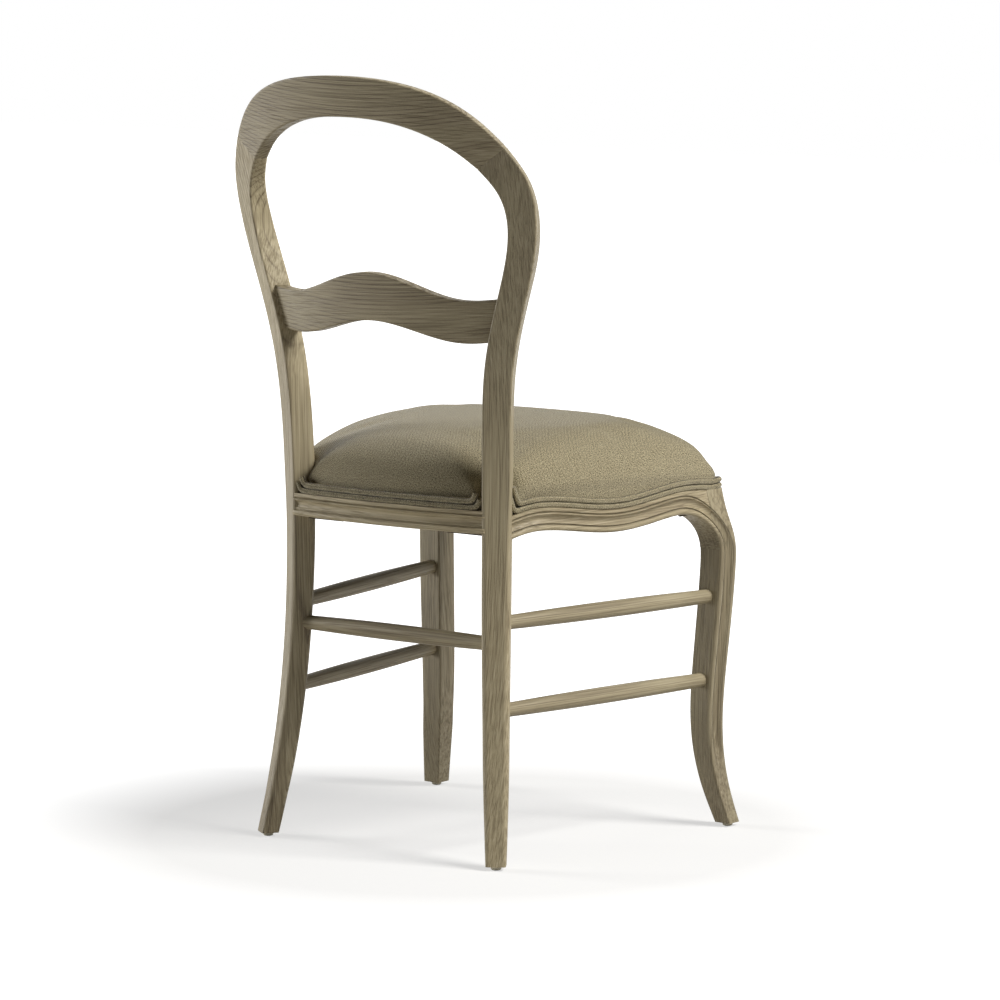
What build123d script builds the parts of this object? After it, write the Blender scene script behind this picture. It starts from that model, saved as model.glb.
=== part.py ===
"""Upholstered dining chair: hooped back, camel-backed splat, serpentine moulded seat rails, round stretchers.

X points to the sitter's left, Y to the rear and Z up. Lengths are millimetres. Places in Y are measured from
the line between the rear feet; the finished pieces are shifted so that the origin lies on the floor under the
middle of the chair.
"""
import os
from math import cos, pi, radians, sin, sqrt, tan

from build123d import *

# Back surface: a bow across the chair, leaning back along a slow curve
BACK_BOW_RADIUS = 521.0
BACK_REF_Z = 700.0
BACK_REF_Y = 26.0
BACK_RECLINE = 9.5
BACK_SWEEP_RADIUS = 2210.0

# Crest rail: outer and inner edge on the back surface, as offset from the middle and drop below its top
CREST_TOP = 964.0
CREST_THICK = 19.0
CREST_MIDDLE = ((0.0, 0.0), (0.0, 50.0))
CREST_QUARTER = ((76.0, 5.0), (69.0, 55.5))
CREST_SHOULDER = ((150.0, 28.0), (129.0, 75.5))
CREST_BEND = ((185.0, 53.5), (155.0, 92.0))
JOINT = ((210.5, 82.5), (174.5, 109.0))
HAUNCH = ((231.5, 125.0), (194.5, 139.0))
HAUNCH_THICK = 22.0
HOOP_TURN = 27.0
CREST_DOWEL_DIAMETER = 8.0
CREST_DOWEL_LENGTH = 30.0
CREST_DOWEL_PITCH = 20.0

# Glides: pale nylon discs, each on its own nail
GLIDE_DIAMETER = 13.0
GLIDE_HEIGHT = 5.0
GLIDE_NAIL_DIAMETER = 3.0
GLIDE_NAIL_LENGTH = 16.0

# Rear leg and post in one piece: height, centre out, centre back, width, depth, turn of the back face
POST_FOOT = (GLIDE_HEIGHT, 182.0, 0.0, 25.0, 22.0, 34.0)
POST_ANKLE = (80.0, 172.0, -13.0, 30.0, 25.0, 34.0)
POST_CALF = (180.0, 162.5, -25.5, 33.0, 27.0, 33.0)
POST_STRETCHER = (290.0, 157.0, -33.0, 35.0, 28.0, 32.0)
POST_SEAT = (420.0, 156.0, -36.0, 36.0, 30.0, 32.0)
POST_WAIST = (520.0, 158.5, -34.0, 36.0, 30.0, 31.0)
POST_SPLAT = (615.0, 167.0, -29.0, 36.0, 30.0, 29.0)
POST_SPRING = (700.0, 189.5, -26.0, 36.0, 30.0, 28.0)
POST_BOW = (780.0, 210.5, -18.5, 36.0, 27.5, 26.0)

# Splat: outline points as offset from the middle and height above the floor
SPLAT_TOP_MIDDLE = 723.0
SPLAT_TOP_SLOPE = (65.0, 710.0)
SPLAT_TOP_HOLLOW = (122.0, 694.5)
SPLAT_TOP_END = 698.0
SPLAT_BOTTOM_MIDDLE = 663.0
SPLAT_BOTTOM_SLOPE = (65.0, 652.5)
SPLAT_BOTTOM_HOLLOW = (120.0, 641.0)
SPLAT_BOTTOM_END = 647.0
SPLAT_THICK = 19.0
SPLAT_RECESS = 5.0
SPLAT_TENON = 12.0
SPLAT_TENON_THICK = 9.0
SPLAT_TENON_HEIGHT = 36.0

# Seat frame lines on the outer face of the rails
SIDE_REAR = (174.0, -46.0)
SEAT_CORNER = (233.0, -403.0)
SIDE_BOW = 16.0
SIDE_LINE_START = -0.058
FRONT_BOW = 22.0
REAR_RAIL_Y = -3.0
REAR_RAIL_BOW_RADIUS = 1010.0
WAVE_HEIGHT = 5.5
WAVE_FIRST = 0.1
WAVE_LAST = 0.8
WAVED_RAIL_BOTTOM = 404.0
REAR_RAIL_BOTTOM = 408.0

# Rail section
RAIL_FACE = 28.5
RAIL_THICK = 24.0
RAIL_TOP = 450.0
LEDGE = 9.0
BEAD_HEIGHT = 8.0
COVE_HEIGHT = 13.0
COVE_DEPTH = 5.5
EDGE_STEP = 1.2
RAIL_TENON = 12.0
RAIL_TENON_THICK = 7.0
RAIL_TENON_HEIGHT = 22.0
RAIL_TENON_Z = 428.0
TENON_CLEARANCE = 0.1

# Front leg: height, centre out, centre back, side of its square section
LEG_FOOT = (GLIDE_HEIGHT, 237.0, -410.0, 24.0)
LEG_ANKLE = (50.0, 227.0, -399.0, 27.0)
LEG_SHIN = (120.0, 218.5, -391.0, 31.0)
LEG_CALF = (220.0, 222.0, -394.5, 32.0)
LEG_KNEE = (330.0, 228.0, -400.0, 32.0)
LEG_RAIL = (405.0, 219.5, -389.5, 32.0)
LEG_SIDE = 32.0
KNEE_RUN = 58.0
KNEE_DROP = 42.0
KNEE_THICK = 20.0

# Stretchers
STRETCHER_END = 18.0
STRETCHER_MIDDLE = 21.0
STRETCHER_STRAIGHT = 26.0
STRETCHER_UPPER_Z = 297.0
STRETCHER_LOWER_Z = 190.0
STRETCHER_REAR_Z = 272.0
SOCKET_CLEARANCE = 0.1

# Seat upholstery
WELT_THICK = 6.0
WELT_CORD = 6.5
WELT_LIP = 2.8
COVER_THICK = 1.2
COVER_BOTTOM = 440.5
CROWN_FOOT = 452.0
CROWN_TOP = 524.0
WEBBING_THICK = 1.2
WEBBING_WIDTH = 60.0
WEBBING_PITCH = 92.0
WEBBING_COUNT = 3
SEAT_MIDDLE_Y = -215.0
CROWN_ROWS = ((0.0, 0.0, 0.0), (0.25, 2.0, 9.0), (0.55, 17.0, 13.0), (0.8, 36.0, 19.0))
CROWN_ROWS += ((0.95, 68.0, 16.0), (1.0, 134.0, 12.0))
FOAM_INSET = 34.0
FOAM_TOP = 484.0
WELT_OVERRUN = 0.06
POST_NOTCH_CLEARANCE = 1.0
SOFT_CLEARANCE = 0.3

# Corner blocks, their screws and the dust cover
FRONT_BLOCK_REACH = 66.0
REAR_BLOCK_REACH = 80.0
BLOCK_BOTTOM = 404.0
BLOCK_HEIGHT = 30.0
SCREW_DIAMETER = 4.0
SCREW_HEAD = 8.0
SCREW_HEAD_HEIGHT = 3.0
SCREW_LENGTH = 30.0
SCREW_BITE = 16.0
SCREW_CLEARANCE = 0.1
FRONT_SCREW_OFFSET = 27.0
REAR_SCREW_X = 126.0
REAR_SCREW_Y = -75.0
DUST_COVER_THICK = 0.8
DUST_COVER_Z = 409.0

# Places that follow from the sizes above
FRONT_REACH = SEAT_CORNER[1] - FRONT_BOW
DECK_Z = RAIL_TOP + 2 * WEBBING_THICK
SKIRT_INSET = LEDGE - SOFT_CLEARANCE - COVER_THICK
FRONT_BOW_RADIUS = (SEAT_CORNER[0] ** 2 + FRONT_BOW**2) / (2 * FRONT_BOW)
WAVE_TAIL = (1 - WAVE_LAST) / (WAVE_LAST - WAVE_FIRST)
FRONT_WAVE_FIRST = WAVE_TAIL / (1 + 2 * WAVE_TAIL)
RISE = Vector(0, 0, 1)
UPRIGHT = (Align.CENTER, Align.CENTER, Align.MIN)


def back_y(x, z):
    """Y of the back surface at an offset from the middle and a height."""
    lean = tan(radians(BACK_RECLINE)) * (z - BACK_REF_Z) + (z - BACK_REF_Z) ** 2 / (2 * BACK_SWEEP_RADIUS)
    bow = BACK_BOW_RADIUS - sqrt(BACK_BOW_RADIUS**2 - x**2)
    return BACK_REF_Y + lean - bow


def between(stations, z):
    """Row of sizes at a height, straight between the two stations around it."""
    pairs = list(zip(stations, stations[1:]))
    low, high = next((pair for pair in pairs if pair[0][0] <= z <= pair[1][0]), pairs[-1])
    share = (z - low[0]) / (high[0] - low[0])
    return [a + (b - a) * share for a, b in zip(low, high)]


POST_STATIONS = [POST_FOOT, POST_ANKLE, POST_CALF, POST_STRETCHER, POST_SEAT]
POST_STATIONS += [POST_WAIST, POST_SPLAT, POST_SPRING, POST_BOW]
LEG_TOP = (RAIL_TOP, SEAT_CORNER[0] - LEG_SIDE / 2, SEAT_CORNER[1] + LEG_SIDE / 2, LEG_SIDE)
LEG_STATIONS = [LEG_FOOT, LEG_ANKLE, LEG_SHIN, LEG_CALF, LEG_KNEE, LEG_RAIL, LEG_TOP]


def hoop_point(offset_drop):
    """Point on the back surface from an offset and a drop below the crest's top."""
    x, drop = offset_drop
    z = CREST_TOP - drop
    return Vector(x, back_y(x, z), z)


def quad(corners):
    """Face through four corners in one plane."""
    return Face(Wire.make_polygon(corners, close=True))


def post_section(station):
    """Level section of a post: a rectangle turned so that its back face looks outwards."""
    z, x, y, width, depth, turn = station
    across = Vector(cos(radians(turn)), -sin(radians(turn)), 0) * (width / 2)
    back = Vector(sin(radians(turn)), cos(radians(turn)), 0) * (depth / 2)
    middle = Vector(x, y, z)
    corners = [middle - across + back, middle + across + back, middle + across - back, middle - across - back]
    return quad(corners)


def hoop_section(station, thick, side=1):
    """Tilted section of the hoop: its edges on the back surface and its sides square to the bow."""
    outer, inner = (hoop_point(edge) for edge in station)
    turn = radians(HOOP_TURN) * outer.X / JOINT[0][0]
    back = Vector(sin(turn), cos(turn), 0) * thick
    corners = [inner, outer, outer - back, inner - back]
    return quad([Vector(side * corner.X, corner.Y, corner.Z) for corner in corners])


def post_blank():
    """Left rear leg and post, without its sockets."""
    sections = [post_section(station) for station in POST_STATIONS]
    sections.append(hoop_section(HAUNCH, HAUNCH_THICK))
    sections.append(hoop_section(JOINT, CREST_THICK))
    return Part() + loft(sections)


def crest_blank():
    """Crest rail without its dowel holes, from the right joint over the middle to the left one."""
    left = [CREST_QUARTER, CREST_SHOULDER, CREST_BEND, JOINT]
    sections = [hoop_section(station, CREST_THICK, -1) for station in reversed(left)]
    sections += [hoop_section(station, CREST_THICK) for station in [CREST_MIDDLE, *left]]
    return Part() + loft(sections)


def crest_dowels(clearance=0.0):
    """Two dowels across each mitred joint of the crest."""
    joint = hoop_section(JOINT, CREST_THICK)
    outer, inner = (hoop_point(edge) for edge in JOINT)
    along = (outer - inner).normalized()
    left = []
    for side in (-0.5, 0.5):
        centre = joint.center() + along * (side * CREST_DOWEL_PITCH)
        radius = CREST_DOWEL_DIAMETER / 2 + clearance
        dowel = Cylinder(radius, CREST_DOWEL_LENGTH + 2 * clearance)
        left.append(Plane(centre, z_dir=joint.normal_at()) * dowel)
    return left + [mirror(dowel, about=Plane.YZ) for dowel in left]


def bowed_board(recess, thick, z_low, z_high):
    """Board that follows the back surface, between two heights and over the whole width."""
    radius = BACK_BOW_RADIUS
    half_width = JOINT[0][0] + thick
    sections = []
    for z in (z_low, (z_low + z_high) / 2, z_high):
        y = back_y(0, z) - recess
        points = []
        for r in (radius, radius - thick):
            side_y = sqrt(r**2 - half_width**2) - radius
            points.append([(-half_width, y + side_y), (0, y + r - radius), (half_width, y + side_y)])
        rear, front = points
        outline = [
            ThreePointArc(*rear),
            Line(rear[2], front[2]),
            ThreePointArc(*reversed(front)),
            Line(front[0], rear[0]),
        ]
        sections.append(Pos(0, 0, z) * make_face(outline))
    return Part() + loft(sections)


def through_back(outline, depth=400):
    """Outline drawn on X and Z, carried right through the back."""
    face = Plane.XZ * make_face(outline)
    return extrude(face, depth, both=True)


def splat_outline():
    """Splat seen square from behind: a camel-backed board that runs past the posts' inner faces."""
    end = POST_SPRING[1]
    rows = []
    for middle, slope, hollow, end_z in (
        (SPLAT_TOP_MIDDLE, SPLAT_TOP_SLOPE, SPLAT_TOP_HOLLOW, SPLAT_TOP_END),
        (SPLAT_BOTTOM_MIDDLE, SPLAT_BOTTOM_SLOPE, SPLAT_BOTTOM_HOLLOW, SPLAT_BOTTOM_END),
    ):
        left = [slope, hollow, (end, end_z)]
        right = [(-x, z) for x, z in reversed(left)]
        rows.append(Spline(*right, (0, middle), *left))
    top, bottom = rows
    return [top, Line(top @ 1, bottom @ 1), bottom, Line(bottom @ 0, top @ 0)]


def splat_tenons(clearance=0.0):
    """Stub tenons at both ends of the splat."""
    z = (SPLAT_TOP_END + SPLAT_BOTTOM_END) / 2
    x, width = between(POST_STATIONS, z)[1:4:2]
    swing = x / BACK_BOW_RADIUS
    face_y = back_y(x, z) - SPLAT_RECESS / cos(swing) - SPLAT_THICK / 2
    reach = width / 2 + SPLAT_TENON
    along = Vector(cos(swing), -sin(swing), 0)
    centre = Vector(x, face_y, z) - along * (width / 2 - SPLAT_TENON + reach / 2)
    size = (reach + 2 * clearance, SPLAT_TENON_THICK + 2 * clearance, SPLAT_TENON_HEIGHT + 2 * clearance)
    left = Plane(centre, x_dir=along, z_dir=RISE) * Box(*size)
    return [left, mirror(left, about=Plane.YZ)]


def splat_blank(posts):
    """Splat shouldered on the posts' inner faces, with its tenons."""
    low = SPLAT_BOTTOM_HOLLOW[1] - SPLAT_THICK
    board = bowed_board(SPLAT_RECESS, SPLAT_THICK, low, SPLAT_TOP_MIDDLE + SPLAT_THICK)
    splat = board & through_back(splat_outline())
    splat = biggest(splat - posts)
    return splat + splat_tenons()


def biggest(shape):
    """Largest solid of a cut shape."""
    return Part() + max(shape.solids(), key=lambda solid: solid.volume)


def side_point(s):
    """Point on the left rail's face line, from the post to the front corner, and the outward direction."""
    run = Vector(SEAT_CORNER[0] - SIDE_REAR[0], SEAT_CORNER[1] - SIDE_REAR[1])
    out = Vector(-run.Y, run.X).normalized()
    point = Vector(*SIDE_REAR) + run * s + out * (4 * SIDE_BOW * s * (1 - s))
    heading = run + out * (4 * SIDE_BOW * (1 - 2 * s))
    wave = WAVE_HEIGHT * cos(2 * pi * (s - WAVE_FIRST) / (WAVE_LAST - WAVE_FIRST))
    return point + RISE * (WAVED_RAIL_BOTTOM + wave), Vector(-heading.Y, heading.X).normalized()


def front_point(s):
    """Point on the front rail's face line, from the left to the right corner, and the outward direction."""
    x = SEAT_CORNER[0] * (1 - 2 * s)
    swing = x / FRONT_BOW_RADIUS
    y = FRONT_REACH + FRONT_BOW_RADIUS * (1 - sqrt(1 - swing**2))
    wave = WAVE_HEIGHT * cos(2 * pi * (s - FRONT_WAVE_FIRST) / (1 - 2 * FRONT_WAVE_FIRST))
    return Vector(x, y, WAVED_RAIL_BOTTOM + wave), Vector(swing, -sqrt(1 - swing**2))


def rear_point(s):
    """Point on the rear rail's face line, from the right to the left post, and the outward direction."""
    x = (2 * s - 1) * SIDE_REAR[0]
    swing = x / REAR_RAIL_BOW_RADIUS
    y = REAR_RAIL_Y - REAR_RAIL_BOW_RADIUS * (1 - sqrt(1 - swing**2))
    return Vector(x, y, REAR_RAIL_BOTTOM), Vector(swing, sqrt(1 - swing**2))


def rail_profile(bottom):
    """Rail section from a bottom height: bead, cove, fillet, welt ledge and tacking rim."""
    top = RAIL_TOP - bottom
    cove_top = BEAD_HEIGHT + COVE_HEIGHT
    lines = [
        Line((-RAIL_THICK, 0), (-BEAD_HEIGHT / 2, 0)),
        ThreePointArc((-BEAD_HEIGHT / 2, 0), (0, BEAD_HEIGHT / 2), (-2 * EDGE_STEP, BEAD_HEIGHT)),
        ThreePointArc(
            (-2 * EDGE_STEP, BEAD_HEIGHT),
            (-COVE_DEPTH, BEAD_HEIGHT + COVE_HEIGHT / 2),
            (-2 * EDGE_STEP, cove_top),
        ),
        Polyline((-2 * EDGE_STEP, cove_top), (-EDGE_STEP, cove_top), (-EDGE_STEP, RAIL_FACE)),
        Polyline((-EDGE_STEP, RAIL_FACE), (-LEDGE, RAIL_FACE), (-LEDGE, top)),
        Polyline((-LEDGE, top), (-RAIL_THICK, top), (-RAIL_THICK, 0)),
    ]
    return make_face(lines)


def welt_profile(_):
    """Two cords side by side on a flat back, standing on the rail's ledge."""
    back = SOFT_CLEARANCE - SKIRT_INSET
    low = RAIL_FACE + SOFT_CLEARANCE
    lip = back + WELT_LIP
    face = back + WELT_THICK
    mid, high = low + WELT_CORD, low + 2 * WELT_CORD
    lines = [
        Line((back, low), (lip, low)),
        ThreePointArc((lip, low), (face, (low + mid) / 2), (lip, mid)),
        ThreePointArc((lip, mid), (face, (mid + high) / 2), (lip, high)),
        Polyline((lip, high), (back, high), (back, low)),
    ]
    return make_face(lines)


def run_along(line, profile, start, end, count):
    """Section carried along a seat line, upright at every station."""
    sections = []
    for step in range(count):
        point, out = line(start + (end - start) * step / (count - 1))
        plane = Plane(point, x_dir=out, z_dir=out.cross(RISE))
        sections.append(plane * profile(point.Z))
    return Part() + loft(sections)


def leg_section(station):
    """Square section of a front leg."""
    z, x, y, side = station
    half = side / 2
    corners = [
        Vector(x - half, y + half, z),
        Vector(x + half, y + half, z),
        Vector(x + half, y - half, z),
        Vector(x - half, y - half, z),
    ]
    return quad(corners)


def leg_blank():
    """Left front leg with a rebated top that takes the welt."""
    leg = Part() + loft([leg_section(station) for station in LEG_STATIONS])
    ledge_z = side_point(1)[0].Z + RAIL_FACE
    rim = LEG_SIDE - LEDGE
    _, x, y, _ = LEG_TOP
    keep = Pos(x - LEDGE / 2, y + LEDGE / 2, ledge_z) * Box(rim, rim, RAIL_TOP, align=UPRIGHT)
    above = Pos(x, y, ledge_z) * Box(2 * LEG_SIDE, 2 * LEG_SIDE, RAIL_TOP, align=UPRIGHT)
    return leg - (above - keep)


def knee(corner_z):
    """Hollow bracket under a rail's end, from its lower edge down the inner face of the front leg."""
    inner = LEG_SIDE
    root = inner - RAIL_TENON
    outline = [
        Polyline((root, BEAD_HEIGHT), (root, -KNEE_DROP), (inner, -KNEE_DROP)),
        Bezier((inner, -KNEE_DROP), (inner, 0), (inner + KNEE_RUN, 0)),
        Polyline((inner + KNEE_RUN, 0), (inner + KNEE_RUN, BEAD_HEIGHT), (root, BEAD_HEIGHT)),
    ]
    bracket = extrude(make_face(outline), KNEE_THICK)
    return Pos(0, 0, corner_z) * Rot(90, 0, 0) * bracket


def knees(leg):
    """Brackets of the left leg: one along the side rail and one along the front rail."""
    z = WAVED_RAIL_BOTTOM + WAVE_HEIGHT
    x, y = SEAT_CORNER
    side = Pos(x - EDGE_STEP, y, 0) * Rot(0, 0, 90) * Pos(0, KNEE_THICK, 0) * knee(z)
    front = Pos(x, y + EDGE_STEP, 0) * Rot(0, 0, 180) * knee(z)
    return biggest(side - leg), biggest(front - leg)


def tenon_core(line, start, end, clearance=0.0):
    """Plain bar inside a rail whose ends stand out as its tenons."""
    thick = RAIL_TENON_THICK + 2 * clearance
    height = RAIL_TENON_HEIGHT + 2 * clearance

    def profile(bottom):
        return Pos(-(LEDGE + RAIL_THICK) / 2, RAIL_TENON_Z - bottom) * Rectangle(thick, height)

    return run_along(line, profile, start, end, 4)


def tenon_reach():
    """Ends of the tenon cores along the side, front and rear lines."""
    _, x, y, width, depth, turn = between(POST_STATIONS, RAIL_TENON_Z)
    swing = radians(turn)
    corner_y = y - sin(swing) * width / 2 - cos(swing) * depth / 2
    length = SEAT_CORNER[1] - SIDE_REAR[1]
    side_start = (corner_y + RAIL_TENON - SIDE_REAR[1]) / length
    side_end = (SEAT_CORNER[1] + LEG_SIDE - RAIL_TENON - SIDE_REAR[1]) / length
    front_end = (LEG_SIDE - RAIL_TENON) / (2 * SEAT_CORNER[0])
    inner_x = x - cos(swing) * width / 2
    rear_end = (1 + (inner_x + RAIL_TENON) / SIDE_REAR[0]) / 2
    return (side_start, side_end), (front_end, 1 - front_end), (1 - rear_end, rear_end)


def tenon_cores(clearance=0.0):
    """Cores of the left, front and rear rails."""
    side, front, rear = tenon_reach()
    lines = ((side_point, side), (front_point, front), (rear_point, rear))
    return [tenon_core(line, start, end, clearance) for line, (start, end) in lines]


def leg_centre(stations, z):
    """Centre of a leg at a height."""
    row = between(stations, z)
    return Vector(row[1], row[2], z)


def stretcher_ends():
    """End points of the left stretchers and of the rear one, on the centre lines of the legs."""
    ends = {}
    for name, z in (("upper", STRETCHER_UPPER_Z), ("lower", STRETCHER_LOWER_Z)):
        ends[name] = leg_centre(POST_STATIONS, z), leg_centre(LEG_STATIONS, z)
    post = leg_centre(POST_STATIONS, STRETCHER_REAR_Z)
    ends["rear"] = post, Vector(-post.X, post.Y, post.Z)
    return ends


def stretcher(start, end):
    """Turned bar: straight round ends for the sockets and a slow swell between them."""
    length = (end - start).length
    ends, middle = STRETCHER_END / 2, STRETCHER_MIDDLE / 2
    outline = [
        Polyline((0, length), (0, 0), (ends, 0), (ends, STRETCHER_STRAIGHT)),
        ThreePointArc((ends, STRETCHER_STRAIGHT), (middle, length / 2), (ends, length - STRETCHER_STRAIGHT)),
        Polyline((ends, length - STRETCHER_STRAIGHT), (ends, length), (0, length)),
    ]
    bar = revolve(Plane.XZ * make_face(outline), Axis.Z)
    return Plane(start, z_dir=end - start) * bar


def socket(start, end):
    """Round socket for one stretcher end."""
    depth = STRETCHER_STRAIGHT + 2 * STRETCHER_END
    hole = Cylinder(STRETCHER_END / 2 + SOCKET_CLEARANCE, depth, align=UPRIGHT)
    return Plane(start, z_dir=end - start) * Pos(0, 0, -SOCKET_CLEARANCE) * hole


def glide(x, y, clearance=0.0):
    """Nylon disc with its nail."""
    disc = Cylinder(GLIDE_DIAMETER / 2, GLIDE_HEIGHT, align=UPRIGHT)
    nail_end = GLIDE_HEIGHT + GLIDE_NAIL_LENGTH + clearance
    nail = Cylinder(GLIDE_NAIL_DIAMETER / 2 + clearance, nail_end, align=UPRIGHT)
    return Pos(x, y, 0) * (disc + nail)


def screw(tip, heading, clearance=0.0):
    """Countersunk screw that points along a heading; with clearance it becomes its hole."""
    start = tip - heading * SCREW_LENGTH
    radius = SCREW_DIAMETER / 2 + clearance
    shank = Cylinder(radius, SCREW_LENGTH + clearance, align=UPRIGHT)
    head = Cone(SCREW_HEAD / 2 + clearance, radius, SCREW_HEAD_HEIGHT, align=UPRIGHT)
    if clearance:
        head += Pos(0, 0, -SCREW_LENGTH) * Cylinder(SCREW_HEAD / 2 + clearance, SCREW_LENGTH, align=UPRIGHT)
    return Plane(start, z_dir=heading) * (shank + head)


def block_screws(clearance=0.0):
    """Screws of the left corner blocks, two to each: one into either rail."""
    z = BLOCK_BOTTOM + BLOCK_HEIGHT / 2
    inside = SCREW_BITE - RAIL_THICK
    x, y = SEAT_CORNER
    front_x = x - RAIL_THICK - FRONT_SCREW_OFFSET
    front_y = y + RAIL_THICK + FRONT_SCREW_OFFSET
    tips = []
    for at_y in (front_y, REAR_SCREW_Y):
        side_face = side_point((at_y - SIDE_REAR[1]) / (y - SIDE_REAR[1]))[0].X
        tips.append((Vector(side_face + inside, at_y, z), Vector(1, 0, 0)))
    front_face = front_point((1 - front_x / x) / 2)[0].Y
    tips.append((Vector(front_x, front_face - inside, z), Vector(0, -1, 0)))
    rear_face = rear_point((1 + REAR_SCREW_X / SIDE_REAR[0]) / 2)[0].Y
    tips.append((Vector(REAR_SCREW_X, rear_face + inside, z), Vector(0, 1, 0)))
    return [screw(tip, heading, clearance) for tip, heading in tips]


def corner_block(corner, reach, heading, neighbours):
    """Three-cornered block that fills a corner of the seat frame, coped to the pieces around it."""
    x, y = corner
    outline = Polyline((x, y), (x - reach, y), (x, y + heading * reach), close=True)
    block = extrude(Pos(0, 0, BLOCK_BOTTOM) * make_face(outline), BLOCK_HEIGHT)
    return biggest(block - neighbours) - block_screws(SCREW_CLEARANCE)


def mitre_corner(corner, first_out, second_out, inset, pull):
    """Corner between two sides that are both drawn in, and pulled in further by itself."""
    both = first_out + second_out
    return corner - both * (inset / (1 + first_out.dot(second_out))) - both.normalized() * pull


def seat_outline(inset, pull=0.0):
    """Outline of the seat inside the face lines of the rails, as four bowed sides."""
    rear_corner, side_out = side_point(SIDE_LINE_START)
    rear_out = rear_point((1 + rear_corner.X / SIDE_REAR[0]) / 2)[1]
    rear = mitre_corner(rear_corner, side_out, rear_out, inset, pull)
    front_corner, side_out = side_point(1)
    front_out = front_point(0)[1]
    front = mitre_corner(front_corner, side_out, front_out, inset, pull)
    side_mid, out = side_point(0.5)
    side_mid = side_mid - out * inset
    corners = [(-rear.X, rear.Y), (rear.X, rear.Y), (front.X, front.Y), (-front.X, front.Y)]
    middles = [
        (0, REAR_RAIL_Y - inset),
        (side_mid.X, side_mid.Y),
        (0, FRONT_REACH + inset),
        (-side_mid.X, side_mid.Y),
    ]
    sides = zip(corners, middles, corners[1:] + corners[:1])
    return make_face([ThreePointArc(*side) for side in sides])


def crown():
    """Crowned seat: an upright skirt inside the welt, then drawn in and nearly level at the top."""
    sections = []
    for share, inset, pull in CROWN_ROWS:
        z = CROWN_FOOT + share * (CROWN_TOP - CROWN_FOOT)
        sections.append(Pos(0, 0, z) * seat_outline(SKIRT_INSET + inset, pull))
    return seat_slab(SKIRT_INSET, COVER_BOTTOM, CROWN_FOOT) + loft(sections)


def seat_slab(inset, low, high):
    """Level slab with the seat's outline."""
    return extrude(Pos(0, 0, low) * seat_outline(inset), high - low)


def post_notch():
    """Room for a post where the seat and its welt fit round it."""
    sections = []
    for z, x, y, width, depth, turn in (POST_STRETCHER, POST_SEAT, POST_WAIST, POST_SPLAT):
        room = 2 * POST_NOTCH_CLEARANCE
        sections.append(post_section((z, x, y, width + room, depth + room, turn)))
    return Part() + loft(sections)


def seat_webbing():
    """Fore-and-aft straps on the rails, and cross straps over them."""
    field = seat_slab(LEDGE + SOFT_CLEARANCE, RAIL_TOP, DECK_Z)
    lengthwise, crosswise = [], []
    for index in range(WEBBING_COUNT):
        offset = (index - (WEBBING_COUNT - 1) / 2) * WEBBING_PITCH
        low = RAIL_TOP + WEBBING_THICK / 2
        strap = Box(WEBBING_WIDTH, -2 * FRONT_REACH, WEBBING_THICK)
        lengthwise.append(Pos(offset, SEAT_MIDDLE_Y, low) * strap & field)
        strap = Box(3 * SEAT_CORNER[0], WEBBING_WIDTH, WEBBING_THICK)
        crosswise.append(Pos(0, SEAT_MIDDLE_Y + offset, low + WEBBING_THICK) * strap & field)
    return lengthwise, crosswise


def front_welt(notches):
    """Welt round the left, front and right rails from post to post, mitred at the front corners."""
    x, y = SEAT_CORNER
    mitre = Plane((x, y, 0), z_dir=(1, 1, 0))
    side = run_along(side_point, welt_profile, SIDE_LINE_START, 1 + WELT_OVERRUN, 9)
    side = biggest(split(side, bisect_by=mitre, keep=Keep.TOP) - notches)
    front = run_along(front_point, welt_profile, -WELT_OVERRUN, 1 + WELT_OVERRUN, 9)
    front = split(front, bisect_by=mitre, keep=Keep.BOTTOM)
    front = split(front, bisect_by=Plane((-x, y, 0), z_dir=(-1, 1, 0)), keep=Keep.BOTTOM)
    return side + front + mirror(side, about=Plane.YZ)


def mirrored(shape):
    """The same piece on the sitter's right."""
    return mirror(shape, about=Plane.YZ)


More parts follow.
